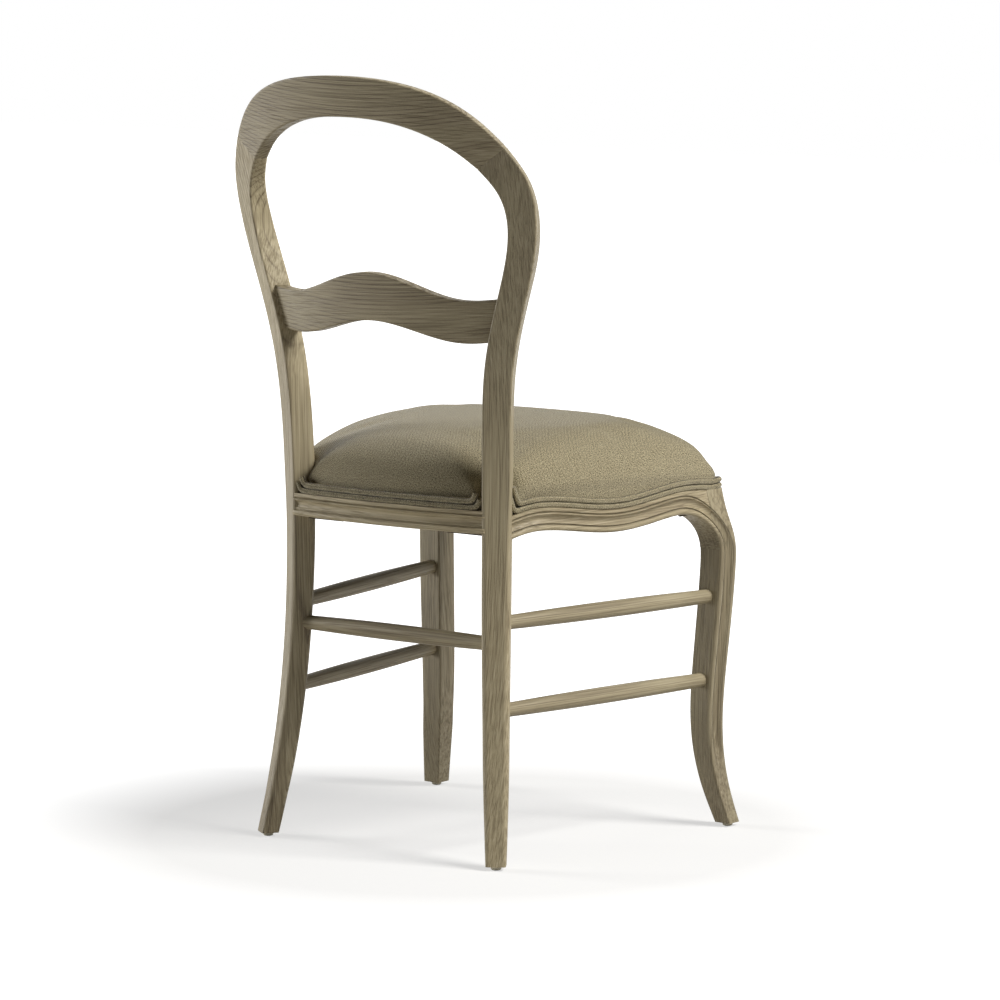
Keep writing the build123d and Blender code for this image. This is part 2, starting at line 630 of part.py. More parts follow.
def chair_pieces():
    """All pieces of the chair by name, in the frame of the rear feet."""
    post, leg = post_blank(), leg_blank()
    posts = [post, mirrored(post)]
    side_core, front_core, rear_core = tenon_cores()
    side_mortise, front_mortise, rear_mortise = tenon_cores(TENON_CLEARANCE)
    screw_holes = block_screws(SCREW_CLEARANCE)
    screw_holes += [mirrored(hole) for hole in screw_holes]

    side_knee, front_knee = knees(leg)
    (_, side_end), (front_start, front_end), _ = tenon_reach()
    side_rail = run_along(side_point, rail_profile, SIDE_LINE_START, side_end, 9)
    side_rail = biggest(side_rail - [post, leg]) + [side_knee, side_core]
    front_rail = run_along(front_point, rail_profile, front_start, front_end, 9)
    front_rail = biggest(front_rail - [leg, mirrored(leg)]) + [front_knee, mirrored(front_knee), front_core]
    rear_rail = biggest(run_along(rear_point, rail_profile, 0, 1, 3) - posts) + rear_core

    ends = stretcher_ends()
    rear_sockets = [socket(*ends[name]) for name in ("upper", "lower", "rear")]
    front_sockets = [socket(*reversed(ends[name])) for name in ("upper", "lower")]
    foot_post, foot_leg = POST_FOOT[1:3], LEG_FOOT[1:3]
    post = post - [side_mortise, rear_mortise, *splat_tenons(TENON_CLEARANCE), *crest_dowels(TENON_CLEARANCE)]
    post = post - [*rear_sockets, glide(*foot_post, TENON_CLEARANCE)]
    leg = leg - [side_mortise, front_mortise, *front_sockets, glide(*foot_leg, TENON_CLEARANCE)]

    front_corner = (SEAT_CORNER[0] - RAIL_THICK / 2, SEAT_CORNER[1] + RAIL_THICK / 2)
    rear_corner = (SIDE_REAR[0] - RAIL_THICK / 2, rear_point(1)[0].Y - RAIL_THICK / 2)
    front_block = corner_block(front_corner, FRONT_BLOCK_REACH, 1, [leg, side_rail, front_rail])
    rear_block = corner_block(rear_corner, REAR_BLOCK_REACH, -1, [post, side_rail, rear_rail])
    blocks = [front_block, mirrored(front_block), rear_block, mirrored(rear_block)]
    sheet = seat_slab(RAIL_THICK + SOFT_CLEARANCE, DUST_COVER_Z, DUST_COVER_Z + DUST_COVER_THICK)
    screws = block_screws()

    notches = [post_notch(), mirrored(post_notch())]
    pocket = seat_slab(LEDGE - SOFT_CLEARANCE, COVER_BOTTOM - COVER_THICK, DECK_Z)
    foam_room = seat_slab(FOAM_INSET - SOFT_CLEARANCE, DECK_Z - COVER_THICK, FOAM_TOP + SOFT_CLEARANCE)
    cover = biggest(crown() - [pocket, foam_room, *notches])
    pad = biggest(seat_slab(FOAM_INSET, DECK_Z, FOAM_TOP) - notches)
    lengthwise, crosswise = seat_webbing()

    pieces = {
        "rear_post_left": post,
        "front_leg_left": leg,
        "seat_rail_left": side_rail - screw_holes,
        "stretcher_upper_left": stretcher(*ends["upper"]),
        "stretcher_lower_left": stretcher(*ends["lower"]),
        "corner_block_front_left": front_block,
        "corner_block_rear_left": rear_block,
        "glide_front_left": glide(*foot_leg),
        "glide_rear_left": glide(*foot_post),
    }
    pieces |= {name.replace("_left", "_right"): mirrored(piece) for name, piece in pieces.items()}
    pieces |= {
        "crest_rail": crest_blank() - crest_dowels(TENON_CLEARANCE),
        "crest_dowels": Compound(children=crest_dowels()),
        "back_splat": splat_blank(posts),
        "seat_rail_front": front_rail - screw_holes,
        "seat_rail_rear": rear_rail - screw_holes,
        "stretcher_rear": stretcher(*ends["rear"]),
        "corner_block_screws": Compound(children=screws + [mirrored(one) for one in screws]),
        "webbing_lengthwise": Compound(children=lengthwise),
        "webbing_crosswise": Compound(children=crosswise),
        "foam_pad": pad,
        "seat_cover": cover,
        "welt_front": front_welt(notches),
        "welt_rear": biggest(run_along(rear_point, welt_profile, 0, 1, 3) - notches),
        "dust_cover": biggest(sheet - [*blocks, front_rail, leg, mirrored(leg)]),
    }
    return pieces


def main():
    os.makedirs("parts", exist_ok=True)
    rear_reach = back_y(0, CREST_TOP)
    to_middle = Pos(0, -(FRONT_REACH + rear_reach) / 2, 0)
    for name, piece in chair_pieces().items():
        export_step(to_middle * piece, f"parts/{name}.step")


main()
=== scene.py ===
"""Upholstered dining chair: a limed oak frame with a hooped back, and a tight linen seat with a double welt.

Lengths inside the classes are millimetres in the maker's frame: X to the sitter's left, Y to the rear from
the line between the rear feet, Z up from the floor. The function place turns them into the model's metres.
"""

import logging
import math
from dataclasses import dataclass, replace
from enum import Enum
from typing import Callable, Sequence

import bmesh
import bpy
import numpy as np
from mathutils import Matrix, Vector


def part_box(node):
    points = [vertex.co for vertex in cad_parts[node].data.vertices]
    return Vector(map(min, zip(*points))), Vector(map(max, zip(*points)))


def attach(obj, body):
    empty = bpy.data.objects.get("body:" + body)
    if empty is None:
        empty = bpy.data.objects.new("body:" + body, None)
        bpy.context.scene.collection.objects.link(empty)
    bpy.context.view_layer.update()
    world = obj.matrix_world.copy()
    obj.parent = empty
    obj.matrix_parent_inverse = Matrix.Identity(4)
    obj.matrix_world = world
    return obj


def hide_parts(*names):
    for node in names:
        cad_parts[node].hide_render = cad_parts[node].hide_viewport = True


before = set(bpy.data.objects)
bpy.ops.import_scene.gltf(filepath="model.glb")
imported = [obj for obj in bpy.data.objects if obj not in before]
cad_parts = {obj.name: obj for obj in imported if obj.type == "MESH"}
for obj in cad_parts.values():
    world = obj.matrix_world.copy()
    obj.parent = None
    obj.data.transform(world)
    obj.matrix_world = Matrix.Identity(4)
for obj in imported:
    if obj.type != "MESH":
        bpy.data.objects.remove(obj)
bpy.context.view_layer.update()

LOG = logging.getLogger("dining_chair")
Array = np.ndarray
# Face line: places X Y and outward directions at some stations along it
FaceLine = Callable[[Array], tuple[Array, Array]]
MM = 0.001
# The rear feet stand this many millimetres behind the middle of the model
REAR_SHIFT = np.array([0.0, 169.5, 0.0])
UP = np.array([0.0, 0.0, 1.0])
BODY = "root"


class Side(Enum):
    """Sitter's side of the chair, as the sign of X."""

    LEFT = 1
    RIGHT = -1

    @property
    def word(self) -> str:
        """Name of the side as it stands in the nodes' names."""
        return self.name.lower()

    @property
    def flip(self) -> Array:
        """Factors that carry a place on the left to this side."""
        return np.array([self.value, 1.0, 1.0])


class Strap(Enum):
    """Layers of the webbing, by their nodes."""

    LENGTHWISE = "webbing_lengthwise"
    CROSSWISE = "webbing_crosswise"


class Slot(Enum):
    """Material slots of the record; the stuff of a new piece's slot ends its name."""

    OAK = "limed_oak"
    GLIDE = "glide_nylon"
    LINEN = "seat_linen"
    WELT = "welt_linen"
    WEBBING = "webbing"
    DUST = "dust_cloth"

    @property
    def word(self) -> str:
        """Stuff of the slot, which ends a piece's name."""
        return self.value.split("_")[-1]


# Shop functions: numbers, curves and meshes


def place(points: Array) -> Array:
    """Maker's millimetres to the model's metres, for places whose last axis is X, Y, Z."""
    return (points + REAR_SHIFT) * MM


def measured(points: Array) -> Array:
    """The model's metres back to maker's millimetres, the inverse of place."""
    return points / MM - REAR_SHIFT


def unit(vectors: Array) -> Array:
    """Vectors of length one along the last axis."""
    return vectors / np.linalg.norm(vectors, axis=-1, keepdims=True)


def bell(value: Array, spread: float) -> Array:
    """Bell curve exp(-(value/spread)^2)."""
    return np.exp(-((value / spread) ** 2))


def ramp(low: float, high: float, value: Array) -> Array:
    """Smooth step t*t*(3-2t) from 0 at low to 1 at high."""
    t = np.clip((value - low) / (high - low), 0.0, 1.0)
    return t * t * (3.0 - 2.0 * t)


def chords(points: Array) -> Array:
    """Running length along a row of points, from 0."""
    steps = np.linalg.norm(np.diff(points, axis=0), axis=-1)
    return np.concatenate([[0.0], np.cumsum(steps)])


def cubic(knots: Array, rows: Array, at: Array) -> Array:
    """Natural cubic curve through rows of numbers.

    The second derivatives m solve h[i-1]m[i-1] + 2(h[i-1]+h[i])m[i] + h[i]m[i+1] = 6(slope[i]-slope[i-1]).

    Args:
        knots: rising parameter of each row.
        rows: numbers to pass through, any shape after the first axis.
        at: parameters to read.

    Returns:
        One row for each parameter.
    """
    flat = rows.reshape(len(rows), -1)
    h = np.diff(knots)
    slope = np.diff(flat, axis=0) / h[:, None]
    system = np.eye(len(knots))
    inner = np.arange(1, len(knots) - 1)
    system[inner, inner - 1] = h[:-1]
    system[inner, inner] = 2.0 * (h[:-1] + h[1:])
    system[inner, inner + 1] = h[1:]
    right = np.zeros_like(flat)
    right[1:-1] = 6.0 * np.diff(slope, axis=0)
    second = np.linalg.solve(system, right)
    cell = np.clip(np.searchsorted(knots, at, side="right") - 1, 0, len(knots) - 2)
    step = (at - knots[cell])[:, None]
    width = h[cell][:, None]
    first, last = second[cell], second[cell + 1]
    curve = flat[cell] + step * (slope[cell] - width * (2.0 * first + last) / 6.0)
    curve += step**2 * first / 2.0 + step**3 * (last - first) / (6.0 * width)
    return curve.reshape((len(at),) + rows.shape[1:])


def loft(sections: Array, count: int) -> Array:
    """Sections carried smoothly through stations that are spaced by the way between their middles.

    Args:
        sections: stations, corners, X Y Z.
        count: rows wanted.

    Returns:
        Rows, corners, X Y Z.
    """
    knots = chords(sections.mean(axis=1))
    return cubic(knots, sections, np.linspace(0.0, knots[-1], count))


def rounded(corners: Array, radii: Array, steps: int = 6) -> Array:
    """Loops round four-cornered sections whose corners are eased.

    A corner C with unit edges b (to the corner before) and a (to the one after) turns along
    C + b*r*(1-sin t) + a*r*(1-cos t), t over a quarter turn; four points stand on each flat.

    Args:
        corners: rows, four corners, X Y Z.
        radii: easing of each corner, rows by four, or four.
        steps: points on each corner.

    Returns:
        Rows, loop points, X Y Z.
    """
    radii = np.broadcast_to(radii, corners.shape[:2])
    turn = np.linspace(0.0, math.pi / 2.0, steps)
    arcs = []
    for index in range(4):
        corner = corners[:, index]
        before = unit(corners[:, index - 1] - corner)[:, None]
        after = unit(corners[:, (index + 1) % 4] - corner)[:, None]
        radius = radii[:, index, None, None]
        arc = before * (1.0 - np.sin(turn))[:, None] + after * (1.0 - np.cos(turn))[:, None]
        arcs.append(corner[:, None] + radius * arc)
    share = np.array([0.05, 0.35, 0.65, 0.95])[:, None]
    loops = []
    for index, arc in enumerate(arcs):
        start, end = arc[:, -1:], arcs[(index + 1) % 4][:, :1]
        loops += [arc, start + (end - start) * share]
    return np.concatenate(loops, axis=1)


def turned(profile: Array, count: int = 40) -> Array:
    """Rows of a turned shape about Z from its half profile.

    Args:
        profile: radius and height of each row.
        count: points round.

    Returns:
        Rows, points round, X Y Z.
    """
    angle = np.linspace(0.0, 2.0 * math.pi, count, endpoint=False)
    radius, height = profile[:, 0, None], profile[:, 1, None]
    parts = [radius * np.cos(angle), radius * np.sin(angle), height + 0.0 * angle]
    return np.stack(parts, axis=-1)


class Skin:
    """One piece's mesh, gathered from closed grids of points."""

    def __init__(self) -> None:
        """Starts with nothing gathered."""
        self.points: list[Array] = []
        self.faces: list[Array] = []
        self.flat: list[Array] = []
        self.count = 0

    def grid(self, points: Array, flat: Array | None = None) -> "Skin":
        """Adds rows of loops; face (i, j) joins (i, j), (i, j+1), (i+1, j+1) and (i+1, j).

        The last column joins the first, and one face closes the first row and one the last.

        Args:
            points: rows, columns, X Y Z.
            flat: U V of each point: its place in the cloth in metres, or the painted shade on it.

        Returns:
            The skin itself.
        """
        rows, columns = points.shape[:2]
        index = self.count + np.arange(rows * columns).reshape(rows, columns)
        across = np.concatenate([index, index[:, :1]], axis=1)
        quads = [across[:-1, :-1], across[:-1, 1:], across[1:, 1:], across[1:, :-1]]
        self.faces += [np.stack(quads, axis=-1).reshape(-1, 4), index[:1, ::-1], index[-1:]]
        self.points.append(points.reshape(-1, 3))
        self.flat.append(np.zeros((rows * columns, 2)) if flat is None else flat.reshape(-1, 2))
        self.count += rows * columns
        return self

    def mesh(self, name: str, crease: float) -> bpy.types.Mesh:
        """Mesh of everything added, its faces turned outwards.

        Args:
            name: name of the piece.
            crease: edges that bend by more degrees than this stay crisp.

        Returns:
            The mesh.
        """
        points = place(np.concatenate(self.points)).astype(np.float32)
        loops = np.concatenate([face.ravel() for face in self.faces]).astype(np.int32)
        totals = np.concatenate([np.full(len(face), face.shape[1]) for face in self.faces])
        starts = np.concatenate([[0], np.cumsum(totals)[:-1]]).astype(np.int32)
        mesh = bpy.data.meshes.new(name)
        mesh.vertices.add(len(points))
        mesh.vertices.foreach_set("co", points.ravel())
        mesh.loops.add(len(loops))
        mesh.loops.foreach_set("vertex_index", loops)
        mesh.polygons.add(len(starts))
        mesh.polygons.foreach_set("loop_start", starts)
        layer = mesh.uv_layers.new(name="cloth")
        layer.data.foreach_set("uv", np.concatenate(self.flat)[loops].astype(np.float32).ravel())
        mesh.update(calc_edges=True)
        mesh.validate()
        work = bmesh.new()
        work.from_mesh(mesh)
        bmesh.ops.recalc_face_normals(work, faces=work.faces)
        work.to_mesh(mesh)
        work.free()
        mesh.polygons.foreach_set("use_smooth", np.ones(len(mesh.polygons), dtype=bool))
        mesh.set_sharp_from_angle(angle=math.radians(crease))
        return mesh

    def piece(
        self,
        name: str,
        finish: bpy.types.Material,
        slot: Slot,
        nodes: Sequence[str] = (),
        crease: float = 40.0,
    ) -> bpy.types.Object:
        """Object of the mesh, riding on the chair in place of its nodes.

        Args:
            name: name of the piece, without the stuff that it is made of.
            finish: its material.
            slot: the record's slot of that finish.
            nodes: CAD nodes that it stands for, if not the one of its own name.
            crease: see mesh.

        Returns:
            The object.
        """
        title = f"{name}_{slot.word}"
        thing = bpy.data.objects.new(title, self.mesh(title, crease))
        bpy.context.scene.collection.objects.link(thing)
        thing.data.materials.append(finish)
        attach(thing, BODY)
        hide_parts(*(nodes or [name]))
        LOG.info("%s: %d faces", title, len(thing.data.polygons))
        return thing


# Finishes


def linear(code: str) -> tuple[float, float, float, float]:
    """Colour for a socket from its sRGB hex code: c/12.92 below 0.04045, else ((c+0.055)/1.055)^2.4.

    Args:
        code: six hex digits after a hash.

    Returns:
        Linear red, green, blue and alpha.
    """
    parts = np.array([int(code[i : i + 2], 16) for i in (1, 3, 5)]) / 255.0
    parts = np.where(parts <= 0.04045, parts / 12.92, ((parts + 0.055) / 1.055) ** 2.4)
    return (*parts.tolist(), 1.0)


def add(
    tree: bpy.types.NodeTree,
    kind: str,
    sockets: dict | None = None,
    stops: Sequence[tuple[float, float]] = (),
    **settings: object,
) -> bpy.types.Node:
    """Adds one node with its settings, and sets or links its inputs.

    Args:
        tree: node tree to add to.
        kind: node type without its ShaderNode prefix.
        sockets: value, or output socket to link, for each input name or number.
        stops: place and grey level of each stop, where the node has a colour ramp.
        settings: the node's own settings.

    Returns:
        The node.
    """
    node = tree.nodes.new("ShaderNode" + kind)
    for key, value in settings.items():
        setattr(node, key, value)
    for _ in stops[2:]:
        node.color_ramp.elements.new(0.5)
    for index, (spot, grey) in enumerate(stops):
        node.color_ramp.elements[index].position = spot
        node.color_ramp.elements[index].color = (grey, grey, grey, 1.0)
    for key, value in (sockets or {}).items():
        if isinstance(value, bpy.types.NodeSocket):
            tree.links.new(value, node.inputs[key])
        else:
            node.inputs[key].default_value = value
    return node


def fresh_material(name: str) -> tuple[bpy.types.Material, bpy.types.NodeTree]:
    """Empty node material.

    Args:
        name: name of the material.

    Returns:
        The material and its node tree.
    """
    material = bpy.data.materials.new(name)
    material.use_nodes = True
    material.node_tree.nodes.clear()
    return material, material.node_tree


def drawn_noise(
    tree: bpy.types.NodeTree, spot: bpy.types.NodeSocket, cell_mm: Sequence[float], **look: float
) -> bpy.types.NodeSocket:
    """Noise drawn out along its axes, for a grain or a yarn.

    Args:
        tree: node tree to add to.
        spot: coordinates in metres.
        cell_mm: size of a cell along X, Y and Z in millimetres.
        look: further inputs of the noise.

    Returns:
        Noise from 0 to 1.
    """
    scale = [1.0 / (size * MM) for size in cell_mm]
    drawn = add(tree, "Mapping", {"Vector": spot, "Scale": scale}).outputs["Vector"]
    return add(tree, "TexNoise", {"Vector": drawn, "Scale": 1.0, **look}).outputs["Fac"]


@dataclass(frozen=True)
class Board:
    """How one piece is cut from the tree.

    The grain runs along a direction, and pith is a point on the heart of the tree in maker's millimetres.
    The tone makes the board lighter or darker than others, partly its own colour and partly painted light
    and shade, and foot does the same low down where it differs; change gives the heights in metres between
    which one gives way to the other. Growth lines show as strongly as rings says, and streaks run into the
    board by depth, so that a curved cut still shows them long.
    """

    along: Sequence[float]
    pith: Sequence[float]
    tone: float = 1.0
    foot: float | None = None
    rings: float = 0.6
    depth: float = 3.0
    change: tuple[float, float] = (0.3, 0.62)

    def on(self, side: Side) -> "Board":
        """The same cut on one side of the chair."""
        return replace(self, along=np.array(self.along) * side.flip, pith=np.array(self.pith) * side.flip)


@dataclass(frozen=True)
class LimedOak:
    """Ring-porous oak, planed, brushed and limed to a weathered grey olive under a dead-flat lacquer.

    The eye sees long dark pore streaks along the board, thin growth lines that arch where a curve cuts
    through straight grain, pale lime left in some pores, and slow changes of tone from board to board,
    partly the wood's own and partly painted light and shade; painted shade also darkens the moulding's
    quirks.
    """

    pale: str = "#a39779"
    mid: str = "#8f8267"
    line: str = "#594c36"
    pore: str = "#52462f"
    lime: str = "#c2b699"
    # Colour of the painted shade in the moulding's quirks and hollow
    wax: str = "#3a3222"
    pore_share: float = 0.42
    lime_share: float = 0.4
    # Greatest share of the moulding's painted shade
    wax_share: float = 0.62
    ring_mm: float = 5.0
    ring_drift: float = 0.09
    # A real pore is about 0.3 mm wide; drawn at 1.2 mm so that the streaks show at this distance
    pore_mm: float = 1.2
    pore_stretch: float = 110.0
    # Growth lines fade in stretches, and the tone drifts in clouds, of these lengths and widths
    fade_mm: tuple[float, float, float] = (200.0, 23.81, 23.81)
    cloud_mm: tuple[float, float, float] = (400.0, 45.455, 45.455)
    roughness: float = 0.5
    pore_roughness: float = 0.14
    ring_relief: float = 0.35
    bump_mm: float = 0.6
    bump: float = 0.35
    ior: float = 1.48
    specular: float = 0.4

    def grain(self, tree: bpy.types.NodeTree, wood: bpy.types.NodeSocket) -> bpy.types.NodeSocket:
        """Growth lines: a sawtooth wave of rings about the pith, faded in stretches.

        Args:
            tree: node tree to add to.
            wood: coordinates about the pith, X along the grain.

        Returns:
            Strength of the lines, 0 to 1.
        """
        # A ring wave repeats every 2*pi/(20*scale)
        scale = 2.0 * math.pi / (20.0 * self.ring_mm * MM)
        slow = add(tree, "Mapping", {"Vector": wood, "Scale": (self.ring_drift, 1.0, 1.0)}).outputs["Vector"]
        wave = add(
            tree,
            "TexWave",
            {"Vector": slow, "Scale": scale, "Distortion": 4.0, "Detail": 2.0, "Detail Scale": 0.3},
            wave_type="RINGS",
            rings_direction="X",
            wave_profile="SAW",
        ).outputs["Fac"]
        late_wood = ((0.0, 0.7), (0.08, 1.0), (0.24, 0.2), (0.75, 0.0), (1.0, 0.4))
        lines = add(tree, "ValToRGB", {"Fac": wave}, stops=late_wood).outputs["Color"]
        fade = drawn_noise(tree, wood, self.fade_mm, Detail=2.0)
        fade = add(tree, "ValToRGB", {"Fac": fade}, stops=((0.38, 0.25), (0.64, 1.0))).outputs["Color"]
        return add(tree, "Math", {0: lines, 1: fade}, operation="MULTIPLY").outputs[0]

    def board(self, name: str, cut: Board) -> bpy.types.Material:
        """Material of one board.

        Growth lines, pores, lime and painted shade in the moulding's quirks and hollow are laid over a cloudy
        ground one after the other, and the whole is then made lighter or darker by the board's tone, partly
        painted light and shade. The painted shade of the moulding is the U of the piece's UV map.

        Args:
            name: name of the board.
            cut: how it is cut from the tree.

        Returns:
            The material.
        """
        material, tree = fresh_material(f"limed_oak_{name}")
        turn = Vector((1.0, 0.0, 0.0)).rotation_difference(Vector(cut.along)).to_euler()
        heart = place(np.array(cut.pith, dtype=float)).tolist()
        coordinates = add(tree, "TexCoord").outputs
        wood = add(
            tree,
            "Mapping",
            {"Vector": coordinates["Object"], "Location": heart, "Rotation": turn},
            vector_type="TEXTURE",
        ).outputs["Vector"]
        lines = self.grain(tree, wood)
        pore_cell = (self.pore_mm * self.pore_stretch, self.pore_mm * cut.depth, self.pore_mm)
        streaks = drawn_noise(tree, wood, pore_cell, Detail=2.5, Roughness=0.6)
        pores = add(tree, "ValToRGB", {"Fac": streaks}, stops=((0.5, 0.0), (0.62, 1.0))).outputs["Color"]
        limed = add(tree, "ValToRGB", {"Fac": streaks}, stops=((0.33, 1.0), (0.45, 0.0))).outputs["Color"]
        cloud = drawn_noise(tree, wood, self.cloud_mm, Detail=3.0)
        cloud = add(tree, "ValToRGB", {"Fac": cloud}, stops=((0.3, 0.0), (0.7, 1.0))).outputs["Color"]
        # Painted shade in the moulding's quirks and hollow, read from the U of the UV map
        wax = add(tree, "SeparateXYZ", {"Vector": coordinates["UV"]}).outputs["X"]
        shade = linear(self.pale)
        for mask, colour, amount in (
            (cloud, self.mid, 1.0),
            (lines, self.line, cut.rings),
            (pores, self.pore, self.pore_share),
            (limed, self.lime, self.lime_share),
            (wax, self.wax, self.wax_share),
        ):
            share = add(tree, "Math", {0: mask, 1: amount}, operation="MULTIPLY").outputs[0]
            layers = {"Factor": share, "A": shade, "B": linear(colour)}
            shade = add(tree, "Mix", layers, data_type="RGBA").outputs["Result"]
        # Painted light and shade: the board's tone, giving way to its foot's tone low down
        height = add(tree, "SeparateXYZ", {"Vector": coordinates["Object"]}).outputs["Z"]
        heights = {"Value": height, "From Min": cut.change[0], "From Max": cut.change[1]}
        tones = {"To Min": cut.tone if cut.foot is None else cut.foot, "To Max": cut.tone}
        tone = add(tree, "MapRange", heights | tones).outputs["Result"]
        shade = add(tree, "HueSaturation", {"Color": shade, "Value": tone}).outputs["Color"]
        gain = {0: pores, 1: self.pore_roughness, 2: self.roughness}
        rough = add(tree, "Math", gain, operation="MULTIPLY_ADD").outputs[0]
        relief = {0: lines, 1: self.ring_relief, 2: pores}
        relief = add(tree, "Math", relief, operation="MULTIPLY_ADD").outputs[0]
        dents = {"Height": relief, "Strength": self.bump, "Distance": self.bump_mm * MM}
        normal = add(tree, "Bump", dents, invert=True).outputs["Normal"]
        surface = {"Base Color": shade, "Roughness": rough, "Normal": normal}
        lacquer = {"IOR": self.ior, "Specular IOR Level": self.specular}
        shader = add(tree, "BsdfPrincipled", surface | lacquer)
        add(tree, "OutputMaterial", {"Surface": shader.outputs[0]})
        return material


@dataclass(frozen=True)
class Linen:
    """Heavy oatmeal linen in a twill, uneven threads, quite matt with a faint bloom at grazing light.

    The real thread is about 0.8 mm; the diagonal is drawn at 2.7 mm and the knots of the weave at 1.3 mm, so
    that they show at this distance. A cord has painted shade where it lies against the next one.
    """

    name: str
    thread: str = "#b9ad8c"
    hollow: str = "#4b422d"
    slub: str = "#bdb394"
    # Colour of the painted shade where a cord lies against the next one
    seam: str = "#2b2518"
    twill_mm: float = 2.7
    knot_mm: float = 1.3
    # Length and width of a thick place in a yarn
    slub_mm: tuple[float, float] = (28.571, 1.42857)
    twill_gain: float = 0.55
    knot_gain: float = 2.9
    knot_floor: float = -1.2
    roughness: float = 0.93
    specular: float = 0.15
    bloom: float = 0.25
    bloom_roughness: float = 0.5
    bump_mm: float = 0.7
    bump: float = 0.45
    cord_mm: float = 0.0

    def weave(self, tree: bpy.types.NodeTree, cloth: bpy.types.NodeSocket) -> bpy.types.NodeSocket:
        """Height of the weave: a diagonal wave plus the knots' noise, each with its gain.

        Args:
            tree: node tree to add to.
            cloth: place in the cloth in metres.

        Returns:
            Height from 0 in the hollows to 1 on the threads.
        """
        # A band wave repeats every 2*pi/(10*scale)
        scale = 2.0 * math.pi / (10.0 * self.twill_mm * MM)
        twill = add(
            tree,
            "TexWave",
            {"Vector": cloth, "Scale": scale, "Distortion": 2.4, "Detail": 2.0, "Detail Scale": 2.2},
            wave_type="BANDS",
            bands_direction="DIAGONAL",
        ).outputs["Fac"]
        fine = {"Vector": cloth, "Scale": 1.0 / (self.knot_mm * MM), "Detail": 1.5}
        height = add(tree, "TexNoise", fine).outputs["Fac"]
        gains = {0: height, 1: self.knot_gain, 2: self.knot_floor}
        height = add(tree, "Math", gains, operation="MULTIPLY_ADD").outputs[0]
        gains = {0: twill, 1: self.twill_gain, 2: height}
        height = add(tree, "Math", gains, operation="MULTIPLY_ADD").outputs[0]
        return add(tree, "ValToRGB", {"Fac": height}, stops=((0.1, 0.0), (0.95, 1.0))).outputs["Color"]

    def material(self) -> bpy.types.Material:
        """Material that follows the cloth's own UV map, which is in metres.

        Returns:
            The material.
        """
        material, tree = fresh_material(self.name)
        cloth = add(tree, "TexCoord").outputs["UV"]
        weave = self.weave(tree, cloth)
        layers = [(weave, self.thread)]
        for cell in (self.slub_mm, self.slub_mm[::-1]):
            fleck = drawn_noise(tree, cloth, (*cell, 1.0 / MM), Detail=2.0)
            fleck = add(tree, "ValToRGB", {"Fac": fleck}, stops=((0.55, 0.0), (0.8, 0.35)))
            layers.append((fleck.outputs["Color"], self.slub))
        # Painted shade along the top and bottom of a cord, where it lies against the next one
        if self.cord_mm:
            turn = add(tree, "SeparateXYZ", {"Vector": cloth}).outputs["Y"]
            turn = {0: turn, 1: 1.0 / (self.cord_mm * MM)}
            height = add(tree, "Math", turn, operation="MULTIPLY").outputs[0]
            for step in ("SINE", "ABSOLUTE"):
                height = add(tree, "Math", {0: height}, operation=step).outputs[0]
            seam = add(tree, "ValToRGB", {"Fac": height}, stops=((0.9, 0.0), (0.985, 0.9)))
            layers.append((seam.outputs["Color"], self.seam))
        colour = linear(self.hollow)
        for share, over in layers:
            mixed = {"Factor": share, "A": colour, "B": linear(over)}
            colour = add(tree, "Mix", mixed, data_type="RGBA").outputs["Result"]
        dents = {"Height": weave, "Strength": self.bump, "Distance": self.bump_mm * MM}
        normal = add(tree, "Bump", dents).outputs["Normal"]
        surface = {"Base Color": colour, "Roughness": self.roughness, "Normal": normal}
        matt = {"Specular IOR Level": self.specular}
        sheen = {"Sheen Weight": self.bloom, "Sheen Roughness": self.bloom_roughness}
        shader = add(tree, "BsdfPrincipled", surface | matt | sheen)
        add(tree, "OutputMaterial", {"Surface": shader.outputs[0]})
        return material


@dataclass(frozen=True)
class Grained:
    """Plain finish with a fine speckle.

    Moulded nylon, sawn block wood, turned beech, zinc plate, webbing or non-woven cloth.
    """

    name: str
    base: str
    speck: str
    grain_mm: float
    roughness: float
    metallic: float = 0.0
    stretch: float = 1.0
    speck_roughness: float = 0.12
    bump_mm: float = 0.1
    bump: float = 0.3

    def material(self) -> bpy.types.Material:
        """Material on the piece's own Object coordinates.

        Returns:
            The material.
        """
        material, tree = fresh_material(self.name)
        spot = add(tree, "TexCoord").outputs["Object"]
        cell = (self.grain_mm, self.grain_mm, self.grain_mm * self.stretch)
        speck = drawn_noise(tree, spot, cell, Detail=3.0)
        speck = add(tree, "ValToRGB", {"Fac": speck}, stops=((0.35, 0.0), (0.7, 1.0))).outputs["Color"]
        layers = {"Factor": speck, "A": linear(self.base), "B": linear(self.speck)}
        colour = add(tree, "Mix", layers, data_type="RGBA").outputs["Result"]
        gain = {0: speck, 1: self.speck_roughness, 2: self.roughness}
        rough = add(tree, "Math", gain, operation="MULTIPLY_ADD").outputs[0]
        dents = {"Height": speck, "Strength": self.bump, "Distance": self.bump_mm * MM}
        normal = add(tree, "Bump", dents).outputs["Normal"]
        surface = {"Base Color": colour, "Roughness": rough, "Normal": normal, "Metallic": self.metallic}
        shader = add(tree, "BsdfPrincipled", surface)
        add(tree, "OutputMaterial", {"Surface": shader.outputs[0]})
        return material


OAK = LimedOak()
SEAT_LINEN = Linen("oatmeal_linen_twill")
WELT_LINEN = Linen("oatmeal_linen_piping", cord_mm=3.4)
# Injection-moulded nylon: ivory, nearly even, with a soft gloss
NYLON = Grained("moulded_nylon", "#d9d3bd", "#cbc4ac", 1.5, 0.42)
# Sawn wood painted dark as the shade under the seat: rough and dull, streaked along the saw's cut
BLOCK_WOOD = Grained("painted_shade_sawn_block", "#4a4030", "#3a3225", 1.2, 0.85, stretch=0.05)
